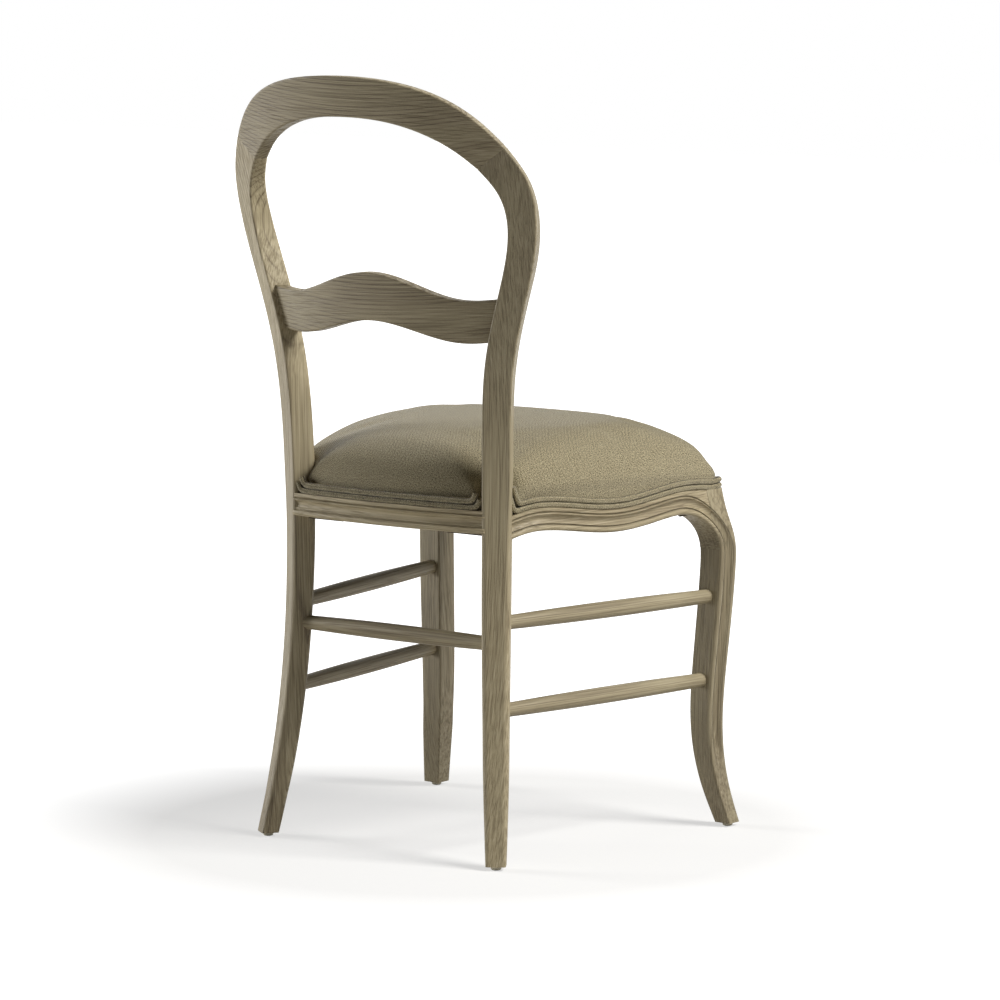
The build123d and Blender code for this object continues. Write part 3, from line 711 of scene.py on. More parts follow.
# Turned beech: pale, warm and fine-pored
BEECH = Grained("beech_dowel", "#b99c6d", "#a2865a", 0.8, 0.7)
# Zinc plate on steel: grey metal with a faint spangle
ZINC = Grained("zinc_plated_screw", "#b9b6ac", "#8f8c82", 0.4, 0.35, metallic=1.0)
# Woven rubber and polypropylene: dark, matt, with lighter threads
WEBBING = Grained("elastic_webbing", "#3f382c", "#5a5140", 1.2, 0.9)
# Spun-bonded polypropylene: black-grey, matt and felt-like
DUST_CLOTH = Grained("non_woven_dust_cloth", "#3b3a36", "#4c4a45", 1.4, 0.95)


# Back of the chair


@dataclass
class HoopBack:
    """Two sabre posts, the crest that closes the hoop on them, and the camel-backed splat."""

    bow_radius: float = 521.0
    ref_z: float = 700.0
    ref_y: float = 26.0
    recline: float = 9.5
    sweep_radius: float = 2210.0
    crest_top: float = 964.0
    crest_thick: float = 19.0
    haunch_thick: float = 22.0
    hoop_turn: float = 27.0
    joint_gap: float = 0.35
    splat_recess: float = 5.0
    splat_thick: float = 19.0
    splat_reach: float = 177.0
    # Easing of the posts' edges: below the seat, behind and in front above it, and its share at the foot
    leg_ease: float = 6.5
    back_ease: float = 2.2
    front_ease: float = 5.0
    foot_ease: float = 0.45
    seat_zone: tuple[float, float] = (380.0, 480.0)
    foot_zone: tuple[float, float] = (5.0, 60.0)
    rows: int = 150

    # Post stations: height, centre out, centre back, width, depth, turn of the back face
    posts = (
        (5.0, 182.0, 0.0, 25.0, 22.0, 34.0),
        (80.0, 172.0, -13.0, 30.0, 25.0, 34.0),
        (180.0, 162.5, -25.5, 33.0, 27.0, 33.0),
        (290.0, 157.0, -33.0, 35.0, 28.0, 32.0),
        (420.0, 156.0, -36.0, 36.0, 30.0, 32.0),
        (520.0, 158.5, -34.0, 36.0, 30.0, 31.0),
        (615.0, 167.0, -29.0, 36.0, 30.0, 29.0),
        (700.0, 189.5, -26.0, 36.0, 30.0, 28.0),
        (780.0, 210.5, -18.5, 36.0, 27.5, 26.0),
    )
    # Hoop stations: outer and inner edge, as offset from the middle and drop below the crest's top
    haunch = ((231.5, 125.0), (194.5, 139.0))
    joint = ((210.5, 82.5), (174.5, 109.0))
    crest = (
        ((0.0, 0.0), (0.0, 50.0)),
        ((76.0, 5.0), (69.0, 55.5)),
        ((150.0, 28.0), (129.0, 75.5)),
        ((185.0, 53.5), (155.0, 92.0)),
        joint,
    )
    # Splat outline: offset from the middle, lower and upper height
    splat = ((0.0, 663.0, 723.0), (65.0, 652.5, 710.0), (121.0, 641.0, 694.5), (189.5, 647.0, 698.0))
    # Easing of the corners: two behind, two in front
    crest_ease = (2.4, 2.4, 5.0, 5.0)
    splat_ease = (2.2, 2.2, 3.0, 3.0)

    # Post tones, partly the wood's own and partly painted light and shade: the left post lighter, with
    # painted shade under the seat at its foot; the right post darker above, with painted light from the floor
    # at its foot
    post_boards = {
        Side.LEFT: Board((0.02, 0.0, 1.0), (231.0, -67.0, 150.0), 1.2, 0.98, 0.9),
        Side.RIGHT: Board((-0.03, 0.0, 1.0), (-60.0, -70.0, 400.0), 0.84, 1.14, 0.3),
    }
    crest_board = Board((1.0, 0.0, 0.03), (0.0, -30.0, 800.0), rings=1.2, depth=14.0)
    splat_board = Board((1.0, 0.05, -0.04), (0.0, -60.0, 560.0), rings=1.2, depth=14.0)

    def back_y(self, x: Array, z: Array) -> Array:
        """Y of the back surface: lean h*tan + h^2/2R at a height h, less the bow R - sqrt(R^2-x^2).

        Args:
            x: offsets from the middle.
            z: heights; h is counted from the reference height.

        Returns:
            Places along Y.
        """
        rise = z - self.ref_z
        lean = math.tan(math.radians(self.recline)) * rise + rise**2 / (2.0 * self.sweep_radius)
        return self.ref_y + lean - (self.bow_radius - np.sqrt(self.bow_radius**2 - x**2))

    def post_corners(self, rows: Array) -> Array:
        """Level sections: corners centre -/+ across +/- back of a rectangle turned about Z.

        Args:
            rows: stations as in posts.

        Returns:
            Stations, four corners (inner back, outer back, outer front, inner front), X Y Z.
        """
        z, x, y, width, depth, turn = rows.T
        turn = np.radians(turn)
        level = 0.0 * z
        across = np.stack([np.cos(turn), -np.sin(turn), level], axis=-1) * width[:, None] / 2.0
        back = np.stack([np.sin(turn), np.cos(turn), level], axis=-1) * depth[:, None] / 2.0
        middle = np.stack([x, y, z], axis=-1)
        inner, outer = middle - across, middle + across
        return np.stack([inner + back, outer + back, outer - back, inner - back], axis=1)

    def hoop_corners(self, station: Sequence[Sequence[float]], thick: float, side: Side) -> Array:
        """Tilted section of the hoop: both edges on the back surface, sides turned with the bow.

        Args:
            station: outer and inner edge.
            thick: thickness of the hoop there.
            side: side of the chair.

        Returns:
            Four corners, X Y Z.
        """
        edges = np.array(station)
        x, z = edges[:, 0], self.crest_top - edges[:, 1]
        outer, inner = np.stack([x, self.back_y(x, z), z], axis=-1)
        turn = math.radians(self.hoop_turn) * outer[0] / self.joint[0][0]
        back = np.array([math.sin(turn), math.cos(turn), 0.0]) * thick
        corners = np.stack([inner, outer, outer - back, inner - back])
        return corners * side.flip

    def post_grid(self, side: Side) -> Array:
        """Loft of a post from its foot to the crest joint, its edges round below the seat, crisper above.

        Args:
            side: side of the chair.

        Returns:
            Rows, loop points, X Y Z.
        """
        sections = [*(self.post_corners(np.array(self.posts)) * side.flip)]
        sections.append(self.hoop_corners(self.haunch, self.haunch_thick, side))
        sections.append(self.hoop_corners(self.joint, self.crest_thick, side))
        corners = loft(np.stack(sections), self.rows)
        z = corners.mean(axis=1)[:, 2]
        above = ramp(*self.seat_zone, z)
        back = self.leg_ease + (self.back_ease - self.leg_ease) * above
        front = self.leg_ease + (self.front_ease - self.leg_ease) * above
        foot = self.foot_ease + (1.0 - self.foot_ease) * ramp(*self.foot_zone, z)
        radii = np.stack([back, back, front, front], axis=-1) * foot[:, None]
        return self.eased_end(rounded(corners, radii))

    def eased_end(self, grid: Array) -> Array:
        """Last row drawn in by the joint gap, so that the glue line shows.

        Args:
            grid: rows, loop points, X Y Z.

        Returns:
            The grid with one row more.
        """
        end = grid[-1]
        middle = end.mean(axis=0)
        step = unit(middle - grid[-2].mean(axis=0))
        drawn = end + unit(middle - end) * self.joint_gap
        return np.concatenate([grid[:-1], end[None] - step * 2.0 * self.joint_gap, drawn[None]])

    def crest_grid(self) -> Array:
        """Loft of the crest from the right joint over the middle to the left joint.

        Returns:
            Rows, loop points, X Y Z.
        """
        left = [self.hoop_corners(station, self.crest_thick, Side.LEFT) for station in self.crest]
        right = [self.hoop_corners(station, self.crest_thick, Side.RIGHT) for station in self.crest[:0:-1]]
        grid = rounded(loft(np.stack(right + left), self.rows), np.array(self.crest_ease))
        return self.eased_end(self.eased_end(grid)[::-1])

    def splat_grid(self) -> Array:
        """Bowed board: upright strips between a lower and an upper curve, run into the posts at both ends.

        Returns:
            Rows, loop points, X Y Z.
        """
        half = np.array(self.splat)
        rows = np.concatenate([half[:0:-1] * np.array([-1.0, 1.0, 1.0]), half])
        x = np.linspace(-self.splat_reach, self.splat_reach, 130)
        low, high = cubic(rows[:, 0], rows[:, 1:], x).T
        swing = np.arcsin(x / self.bow_radius)
        inward = np.stack([np.sin(swing), np.cos(swing), 0.0 * x], axis=-1)
        corners = []
        for z, depth in ((low, 0.0), (high, 0.0), (high, self.splat_thick), (low, self.splat_thick)):
            face = np.stack([x, self.back_y(x, z), z], axis=-1)
            corners.append(face - inward * (self.splat_recess + depth))
        return rounded(np.stack(corners, axis=1), np.array(self.splat_ease))

    def build(self) -> None:
        """Makes the posts, the crest and the splat."""
        for side, cut in self.post_boards.items():
            oak = OAK.board(f"post_{side.word}", cut)
            Skin().grid(self.post_grid(side)).piece(f"rear_post_{side.word}", oak, Slot.OAK)
        oak = OAK.board("crest", self.crest_board)
        Skin().grid(self.crest_grid()).piece("crest_rail", oak, Slot.OAK)
        oak = OAK.board("splat", self.splat_board)
        Skin().grid(self.splat_grid()).piece("back_splat", oak, Slot.OAK)


# Seat frame


@dataclass(frozen=True)
class Moulding:
    """Show face of the rails and front legs, by the distance from its lower edge.

    A round bead with a slow fall, a quirk, a hollow, a thin ridge and a second quirk lead to the plain face.
    """

    bead: float = 4.0
    bead_end: float = 7.6
    bead_fall: float = 1.8
    plain: float = 1.2
    hollow_start: float = 8.6
    hollow_width: float = 12.0
    hollow_depth: float = 3.4

    # Place, spread and depth of a quirk, the ridge and the other quirk
    lines = ((8.1, 0.75, 2.2), (21.0, 1.0, -1.2), (23.0, 0.75, 1.6))
    # Place, spread and share of painted shade in the quirks, and in the hollow between them
    quirk_wax = ((8.2, 1.3, 1.0), (23.0, 1.2, 1.0))
    hollow_wax = ((12.5, 3.5, 0.35),)

    def bells(self, distance: Array, rows: Sequence[tuple[float, float, float]]) -> Array:
        """Sum of height*exp(-((d-place)/spread)^2) over rows of place, spread and height."""
        return sum(height * bell(distance - spot, spread) for spot, spread, height in rows)

    def depth(self, distance: Array) -> Array:
        """Depth of the face: bead r - sqrt(r^2-(r-d)^2), a square fall, a sine hollow and the lines.

        Args:
            distance: millimetres from the lower edge.

        Returns:
            Depth in millimetres.
        """
        d = np.maximum(distance, 0.0)
        under = self.bead - np.sqrt(self.bead**2 - (self.bead - np.clip(d, 0.0, self.bead)) ** 2)
        fall = self.bead_fall * np.clip((d - self.bead) / (self.bead_end - self.bead), 0.0, 1.0) ** 2
        over = np.where(d < self.bead_end, fall, self.plain)
        turn = math.pi * np.clip((d - self.hollow_start) / self.hollow_width, 0.0, 1.0)
        return under + over + self.hollow_depth * np.sin(turn) + self.bells(d, self.lines)

    def wax(self, distance: Array) -> Array:
        """Painted shade in the moulding: full in both quirks, a third in the hollow between them.

        Args:
            distance: millimetres from the lower edge.

        Returns:
            Share of painted shade, 0 to 1, in the first of two columns, as a finish reads it from the UV map.
        """
        quirks, hollow = self.bells(distance, self.quirk_wax), self.bells(distance, self.hollow_wax)
        share = np.clip(np.maximum(quirks, hollow), 0.0, 1.0)
        return np.stack([share, 0.0 * share], axis=-1)


MOULDING = Moulding()
# Tone of the front legs, painted shade for their shaded rear faces, and the heights in metres over which
# the knees take that painted shade on from the rails
LEG_SHADE_TONE = 0.83
KNEE_CHANGE = (0.365, 0.41)


@dataclass
class SeatFrame:
    """Moulded serpentine rails, cabriole front legs and the hollow knees between them."""

    side_rear: tuple[float, float] = (174.0, -46.0)
    corner: tuple[float, float] = (233.0, -403.0)
    side_bow: float = 16.0
    front_bow: float = 22.0
    rear_y: float = -3.0
    rear_radius: float = 1010.0
    rear_bottom: float = 408.0
    wave_height: float = 5.5
    wave_first: float = 0.1
    wave_last: float = 0.8
    waved_bottom: float = 402.5
    post_fall: float = 5.0
    fall_start: float = 0.13
    rail_face: float = 28.5
    rail_thick: float = 24.0
    rail_top: float = 450.0
    ledge: float = 9.0
    knee_run: float = 58.0
    knee_drop: float = 48.0
    leg_side: float = 32.0
    knee_thick: float = 33.3
    leg_top: float = 434.5
    rear_tuck: float = -16.0
    front_edge_ease: float = 5.0
    stop_low: float = 75.0
    stop_high: float = 125.0
    soffit_ease: float = 1.5
    rear_half: float = 152.0
    # Share of the moulding's painted shade kept on the rear rail
    rear_wax: float = 0.6
    leg_edge: float = 1.6
    leg_inset: float = 4.0
    corner_lift: float = 1.2
    lift_start: float = 0.6
    knee_low: float = 350.0

    # Front leg stations: height, centre out, centre back, side of the square
    legs = (
        (5.0, 237.0, -410.0, 24.0),
        (50.0, 227.0, -399.0, 27.0),
        (120.0, 218.5, -391.0, 31.0),
        (220.0, 221.2, -393.7, 33.5),
        (330.0, 227.7, -399.7, 34.5),
        (372.0, 226.8, -398.5, 34.5),
        (405.0, 220.2, -390.8, 34.5),
        (450.0, 214.0, -384.0, 34.0),
    )

    # Tones, partly the wood's own and partly painted light and shade: the rails lighter, the rear rail most,
    # and the front legs and the knees darker as painted shade
    side_board = Board((0.16, -1.0, 0.02), (120.0, -200.0, 350.0), 1.24, LEG_SHADE_TONE, change=KNEE_CHANGE)
    leg_board = Board((0.03, 0.02, 1.0), (150.0, -330.0, 200.0), 0.92, LEG_SHADE_TONE, 0.3, change=KNEE_CHANGE)
    front_board = Board((1.0, 0.0, 0.02), (0.0, -350.0, 330.0), 1.1, LEG_SHADE_TONE, change=KNEE_CHANGE)
    rear_board = Board((1.0, 0.02, 0.02), (0.0, -60.0, 340.0), 1.36)

    @property
    def side_length(self) -> float:
        """Straight length of the side rail's face line, from the post to the front corner."""
        return math.hypot(self.corner[0] - self.side_rear[0], self.corner[1] - self.side_rear[1])

    @property
    def front_length(self) -> float:
        """Straight length of the front rail's face line, from corner to corner."""
        return 2.0 * self.corner[0]

    def side_line(self, a: Array) -> tuple[Array, Array]:
        """Left rail's face line: chord plus a bow 4*b*s*(1-s), s = a / length.

        Args:
            a: way from the post towards the front corner.

        Returns:
            Places X Y and outward directions.
        """
        run = np.array(self.corner) - np.array(self.side_rear)
        out = unit(np.array([-run[1], run[0]]))
        s = (a / self.side_length)[..., None]
        places = np.array(self.side_rear) + run * s + out * (4.0 * self.side_bow * s * (1.0 - s))
        heading = run + out * (4.0 * self.side_bow * (1.0 - 2.0 * s))
        return places, unit(np.stack([-heading[..., 1], heading[..., 0]], axis=-1))

    def front_line(self, a: Array) -> tuple[Array, Array]:
        """Front rail's face line: a circle through both corners, bowed forward.

        Args:
            a: way from the left corner.

        Returns:
            Places X Y and outward directions.
        """
        half, bow = self.corner[0], self.front_bow
        radius = (half**2 + bow**2) / (2.0 * bow)
        x = half - a
        out = np.stack([x / radius, -np.sqrt(1.0 - (x / radius) ** 2)], axis=-1)
        middle = np.array([0.0, self.corner[1] - bow + radius])
        return middle + radius * out, out

    def rear_line(self, a: Array) -> tuple[Array, Array]:
        """Rear rail's face line: a circle bowed to the rear.

        Args:
            a: way from the middle towards the left post.

        Returns:
            Places X Y and outward directions.
        """
        out = np.stack([a / self.rear_radius, np.sqrt(1.0 - (a / self.rear_radius) ** 2)], axis=-1)
        return np.array([0.0, self.rear_y - self.rear_radius]) + self.rear_radius * out, out

    def side_wave(self, a: Array) -> Array:
        """Height of the side rail's lower edge: a cosine with a crest near each end, and a fall at the post.

        Args:
            a: way from the post towards the front corner.

        Returns:
            Heights.
        """
        s = a / self.side_length
        turn = 2.0 * math.pi * (s - self.wave_first) / (self.wave_last - self.wave_first)
        fall = self.post_fall * np.clip((self.fall_start - s) / self.fall_start, 0.0, 1.3) ** 2
        return self.waved_bottom + self.wave_height * np.cos(turn) - fall

    def front_wave(self, a: Array) -> Array:
        """Height of the front rail's lower edge: a cosine level with the side rails at both corners.

        Args:
            a: way from the left corner.

        Returns:
            Heights.
        """
        tail = (1.0 - self.wave_last) / (self.wave_last - self.wave_first)
        first = tail / (1.0 + 2.0 * tail)
        turn = 2.0 * math.pi * (a / self.front_length - first) / (1.0 - 2.0 * first)
        return self.waved_bottom + self.wave_height * np.cos(turn)

    def leg_rows(self, z: Array) -> Array:
        """Centre out, centre back and side of the front leg at some heights."""
        table = np.array(self.legs)
        return cubic(table[:, 0], table[:, 1:], z)

    def knee(self, gap: Array) -> Array:
        """Drop of the lower edge near a leg: drop*(1-t)^2 with t = sqrt(gap/run), upright at the leg."""
        t = np.sqrt(np.clip(gap / self.knee_run, 0.0, 1.0))
        return self.knee_drop * (1.0 - t) ** 2

    def edge_distance(self, gap: Array, z: Array, level: float) -> Array:
        """Distance from the lower edge near a leg: the nearest of many points along the knee's curve.

        Args:
            gap: way from the leg's inner edge along the rail, negative on the leg.
            z: heights, same shape.
            level: height of the rail's lower edge at the leg.

        Returns:
            Distances, same shape.
        """
        # The curve is followed somewhat past the end of the knee, at t = 1
        t = np.linspace(0.0, 1.6, 420)
        path_gap = self.knee_run * t**2
        path_z = level - self.knee_drop * (1.0 - np.minimum(t, 1.0)) ** 2
        near = np.hypot(gap[..., None] - path_gap, z[..., None] - path_z).min(axis=-1)
        below = z < level - self.knee_drop
        return np.where(below, np.abs(gap), near)

    def rail_grid(
        self,
        line: FaceLine,
        wave: Callable[[Array], Array],
        a: Array,
        legs: Sequence[tuple[float, int]],
    ) -> tuple[Array, Array]:
        """Closed moulded section carried along a face line, with a hollow knee towards each leg.

        The outer face lies as deep as the moulding at its distance from the lower edge. The knee grows from
        the rail's thickness to the leg's.

        Args:
            line: face line.
            wave: height of the lower edge.
            a: stations along the line.
            legs: place of each leg's inner edge along the line, and the line's heading towards it.

        Returns:
            Stations, loop points, X Y Z, and their painted shade.
        """
        share = np.linspace(0.0, 1.0, 84)
        low = wave(a)
        top = low + self.rail_face
        thick = np.full_like(a, self.rail_thick)
        for edge, heading in legs:
            gap = (edge - a) * heading
            low = low - self.knee(gap)
            grown = self.knee_thick - self.rail_thick
            thick += grown * (1.0 - ramp(0.0, self.knee_run, gap))
        z = low[:, None] + (top - low)[:, None] * share
        distance = z - low[:, None]
        for edge, heading in legs:
            gap = (edge - a) * heading
            near = gap < 2.0 * self.knee_run
            level = float(wave(np.array([edge]))[0])
            lift = (wave(a) - level)[near, None]
            distance[near] = self.edge_distance(gap[near, None] + 0.0 * z[near], z[near] - lift, level)
        ledge, plain, rim = (np.full_like(a, value) for value in (self.ledge, self.rail_thick, self.rail_top))
        inside_depth = (ledge, ledge, plain, plain, thick, thick - self.soffit_ease, thick / 2.0)
        inside_z = (top, rim, rim, (low + top) / 2.0, low + self.soffit_ease, low, low)
        depth = np.concatenate([MOULDING.depth(distance), np.stack(inside_depth, axis=1)], axis=1)
        z = np.concatenate([z, np.stack(inside_z, axis=1)], axis=1)
        # Painted shade in the moulding's quirks and hollow; none on the inside
        wax = np.concatenate([MOULDING.wax(distance), np.zeros((len(a), len(inside_z), 2))], axis=1)
        return self.on_line(line, a, depth, z, legs), wax

    def on_line(
        self,
        line: FaceLine,
        a: Array,
        depth: Array,
        z: Array,
        legs: Sequence[tuple[float, int]],
    ) -> Array:
        """Places behind a face line that lean towards each leg near it.

        With w falling from 1 at the leg to 0 at the end of its knee, a place moves along the line by w times
        the leg's set and outwards by w times its swell, both read at the place's height.

        Args:
            line: face line.
            a: stations along the line.
            depth: how far behind the line, stations by points.
            z: heights, same shape.
            legs: as for rail_grid.

        Returns:
            Stations, points, X Y Z.
        """
        x, y, side = np.moveaxis(self.leg_rows(z.ravel()).reshape(z.shape + (3,)), -1, 0)
        shift, swell = np.zeros_like(z), np.zeros_like(z)
        for edge, heading in legs:
            w = 1.0 - ramp(0.0, self.knee_run, (edge - a) * heading)[:, None]
            if line == self.side_line:
                swell += w * (x + side / 2.0 - self.corner[0])
                shift -= w * heading * (y + side / 2.0 - self.corner[1] - self.leg_side)
            else:
                swell -= w * (y - side / 2.0 - self.corner[1])
                shift += w * heading * (x - side / 2.0 - self.corner[0] + self.leg_side)
        places, out = line(a[:, None] + shift)
        return np.concatenate([places + out * (swell - depth)[..., None], z[..., None]], axis=-1)

    def knee_stations(self, edge: float, heading: int) -> Array:
        """Stations along a knee, thick near the leg: edge - heading*run*t^2."""
        return edge - heading * self.knee_run * np.linspace(1.0, 0.0, 80) ** 2

    def side_rail_grid(self) -> tuple[Array, Array]:
        """Left side rail from inside the post to the leg.

        Returns:
            Stations, loop points, X Y Z, and their painted shade.
        """
        edge = self.side_length - self.leg_side
        plain = np.linspace(self.rear_tuck, edge - self.knee_run, 120)[:-1]
        stations = np.concatenate([plain, self.knee_stations(edge, 1)])
        return self.rail_grid(self.side_line, self.side_wave, stations, [(edge, 1)])

    def front_rail_grid(self) -> tuple[Array, Array]:
        """Front rail from leg to leg.

        Returns:
            Stations, loop points, X Y Z, and their painted shade.
        """
        first, last = self.leg_side, self.front_length - self.leg_side
        plain = np.linspace(first + self.knee_run, last - self.knee_run, 120)[1:-1]
        parts = [self.knee_stations(first, -1)[::-1], plain, self.knee_stations(last, 1)]
        legs = [(first, -1), (last, 1)]
        return self.rail_grid(self.front_line, self.front_wave, np.concatenate(parts), legs)

    def rear_rail_grid(self) -> tuple[Array, Array]:
        """Rear rail, its ends inside the posts."""
        stations = np.linspace(-self.rear_half, self.rear_half, 90)
        return self.rail_grid(self.rear_line, lambda a: 0.0 * a + self.rear_bottom, stations, [])

    def leg_grid(self) -> tuple[Array, Array]:
        """Left front leg: a square section whose outer and front faces carry on the rails' moulding.

        Both show faces use the distance from the knee's curve, which runs down the leg's inner edges; the
        moulding runs out above the foot, and lifts a little towards the front edge. The loop follows the
        outer face, the eased front edge, the front face, the inner face and the rear face.

        Returns:
            Rows, loop points, X Y Z, and their painted shade.
        """
        foot = self.legs[0][0]
        shin = np.linspace(foot, self.knee_low, 90)[:-1]
        z = np.concatenate([shin, np.linspace(self.knee_low, self.leg_top, 100)])
        x, y, side = self.leg_rows(z).T
        half = side[:, None] / 2.0
        ease, edge = self.front_edge_ease, self.leg_edge
        width = (side - ease)[:, None]
        u = np.linspace(0.0, 1.0, 46) * width
        level = float(self.side_wave(np.array([self.side_length - self.leg_side]))[0])
        distance = self.edge_distance(-u * self.leg_side / side[:, None], z[:, None] + 0.0 * u, level)
        moulded = MOULDING.depth(distance) - self.corner_lift * ramp(self.lift_start, 1.0, u / width)
        plain = edge - np.sqrt(edge**2 - (edge - np.clip(u, 0.0, edge)) ** 2)
        running = ramp(self.stop_low, self.stop_high, z)[:, None]
        cut = plain + (moulded - plain) * running
        # Painted shade in the moulding's quirks and hollow, running out with the moulding
        wax = MOULDING.wax(distance) * running[..., None]
        angle = np.linspace(0.0, math.pi / 2.0, 9)[1:-1]
        round_p = half - ease + ease * np.cos(angle)
        round_q = ease - half - ease * np.sin(angle)
        inset = cut[:, :1] + self.leg_inset
        rest = half - edge
        p = [half - cut, round_p, (u - half)[:, ::-1], -half, -half, -rest, half - inset]
        q = [half - u, round_q, (cut - half)[:, ::-1], inset - half, rest, half, half]
        p, q = np.concatenate(p, axis=1), np.concatenate(q, axis=1)
        gaps = [np.zeros((len(z), count, 2)) for count in (len(angle), 4)]
        wax = np.concatenate([wax, gaps[0], wax[:, ::-1], gaps[1]], axis=1)
        return np.stack([x[:, None] + p, y[:, None] + q, z[:, None] + 0.0 * p], axis=-1), wax

    def build(self) -> None:
        """Makes the four rails and the two front legs."""
        pair = (
            ("side_rail", "seat_rail", self.side_rail_grid, self.side_board),
            ("front_leg", "front_leg", self.leg_grid, self.leg_board),
        )
        for side in Side:
            for board, name, shape, cut in pair:
                points, wax = shape()
                oak = OAK.board(f"{board}_{side.word}", cut.on(side))
                Skin().grid(points * side.flip, wax).piece(f"{name}_{side.word}", oak, Slot.OAK)
        oak = OAK.board("front_rail", self.front_board)
        Skin().grid(*self.front_rail_grid()).piece("seat_rail_front", oak, Slot.OAK)
        points, wax = self.rear_rail_grid()
        oak = OAK.board("rear_rail", self.rear_board)
        # The rear rail keeps less of the moulding's painted shade
        Skin().grid(points, wax * self.rear_wax).piece("seat_rail_rear", oak, Slot.OAK)


@dataclass
class Stretchers:
    """Five turned bars: straight round ends in the legs and a slow swell between them."""

    end: float = 18.0
    middle: float = 21.0
    straight: float = 26.0
    chamfer: float = 0.6

    # Start and end of the left pair and of the rear bar
    upper = ((156.9, -33.2, 297.0), (226.2, -398.4, 297.0))
    lower = ((162.0, -26.2, 190.0), (221.0, -393.5, 190.0))
    rear = ((157.9, -31.8, 272.0), (-157.9, -31.8, 272.0))
    # Way from a bar's start to the heart of its tree
    side_heart = (30.0, 0.0, -25.0)
    rear_heart = (0.0, -30.0, -20.0)

    def bar_grid(self, start: Array, end: Array) -> Array:
        """Turned bar: radius end/2 + (middle-end)/2 * 4s(1-s) between its straight ends, along its axis.

        Args:
            start: one end.
            end: other end.

        Returns:
            Rows, points round, X Y Z.
        """
        length = np.linalg.norm(end - start)
        swell = np.linspace(self.straight, length - self.straight, 40)
        way = np.concatenate([[0.0, self.chamfer], swell, [length - self.chamfer, length]])
        s = np.clip((way - self.straight) / (length - 2.0 * self.straight), 0.0, 1.0)
        radius = self.end / 2.0 + (self.middle - self.end) / 2.0 * 4.0 * s * (1.0 - s)
        radius[[0, -1]] -= self.chamfer
        rows = turned(np.stack([radius, way], axis=-1))
        axis = unit(end - start)
        first = unit(np.cross(axis, UP))
        second = np.cross(axis, first)
        return start + rows[..., :1] * first + rows[..., 1:2] * second + rows[..., 2:] * axis

    def bar(self, name: str, ends: Array, heart: Array) -> None:
        """Makes one bar.

        Args:
            name: its node's name.
            ends: its start and end, X Y Z.
            heart: way from its start to the heart of its tree.
        """
        start, end = ends
        oak = OAK.board(name, Board(end - start, start + heart))
        Skin().grid(self.bar_grid(start, end)).piece(name, oak, Slot.OAK)

    def build(self) -> None:
        """Makes the five bars."""
        for side in Side:
            heart = np.array(self.side_heart) * side.flip
            for word, ends in (("upper", self.upper), ("lower", self.lower)):
                self.bar(f"stretcher_{word}_{side.word}", np.array(ends) * side.flip, heart)
        self.bar("stretcher_rear", np.array(self.rear), np.array(self.rear_heart))


@dataclass
class Glides:
    """Four moulded nylon glides under the feet."""

    rear = (182.0, 0.0, 0.0)
    front = (237.0, -410.0, 0.0)
    # Half profile: radius and height
    profile = ((0.4, 0.0), (4.4, 0.0), (5.6, 0.5), (6.3, 1.5), (6.5, 2.6), (6.5, 4.4), (5.9, 5.0), (0.4, 5.0))

    def build(self) -> None:
        """Makes the glides."""
        nylon = NYLON.material()
        shape = turned(np.array(self.profile))
        for side in Side:
            for word, foot in (("rear", self.rear), ("front", self.front)):
                points = shape + np.array(foot) * side.flip
                Skin().grid(points).piece(f"glide_{word}_{side.word}", nylon, Slot.GLIDE)


# Upholstery


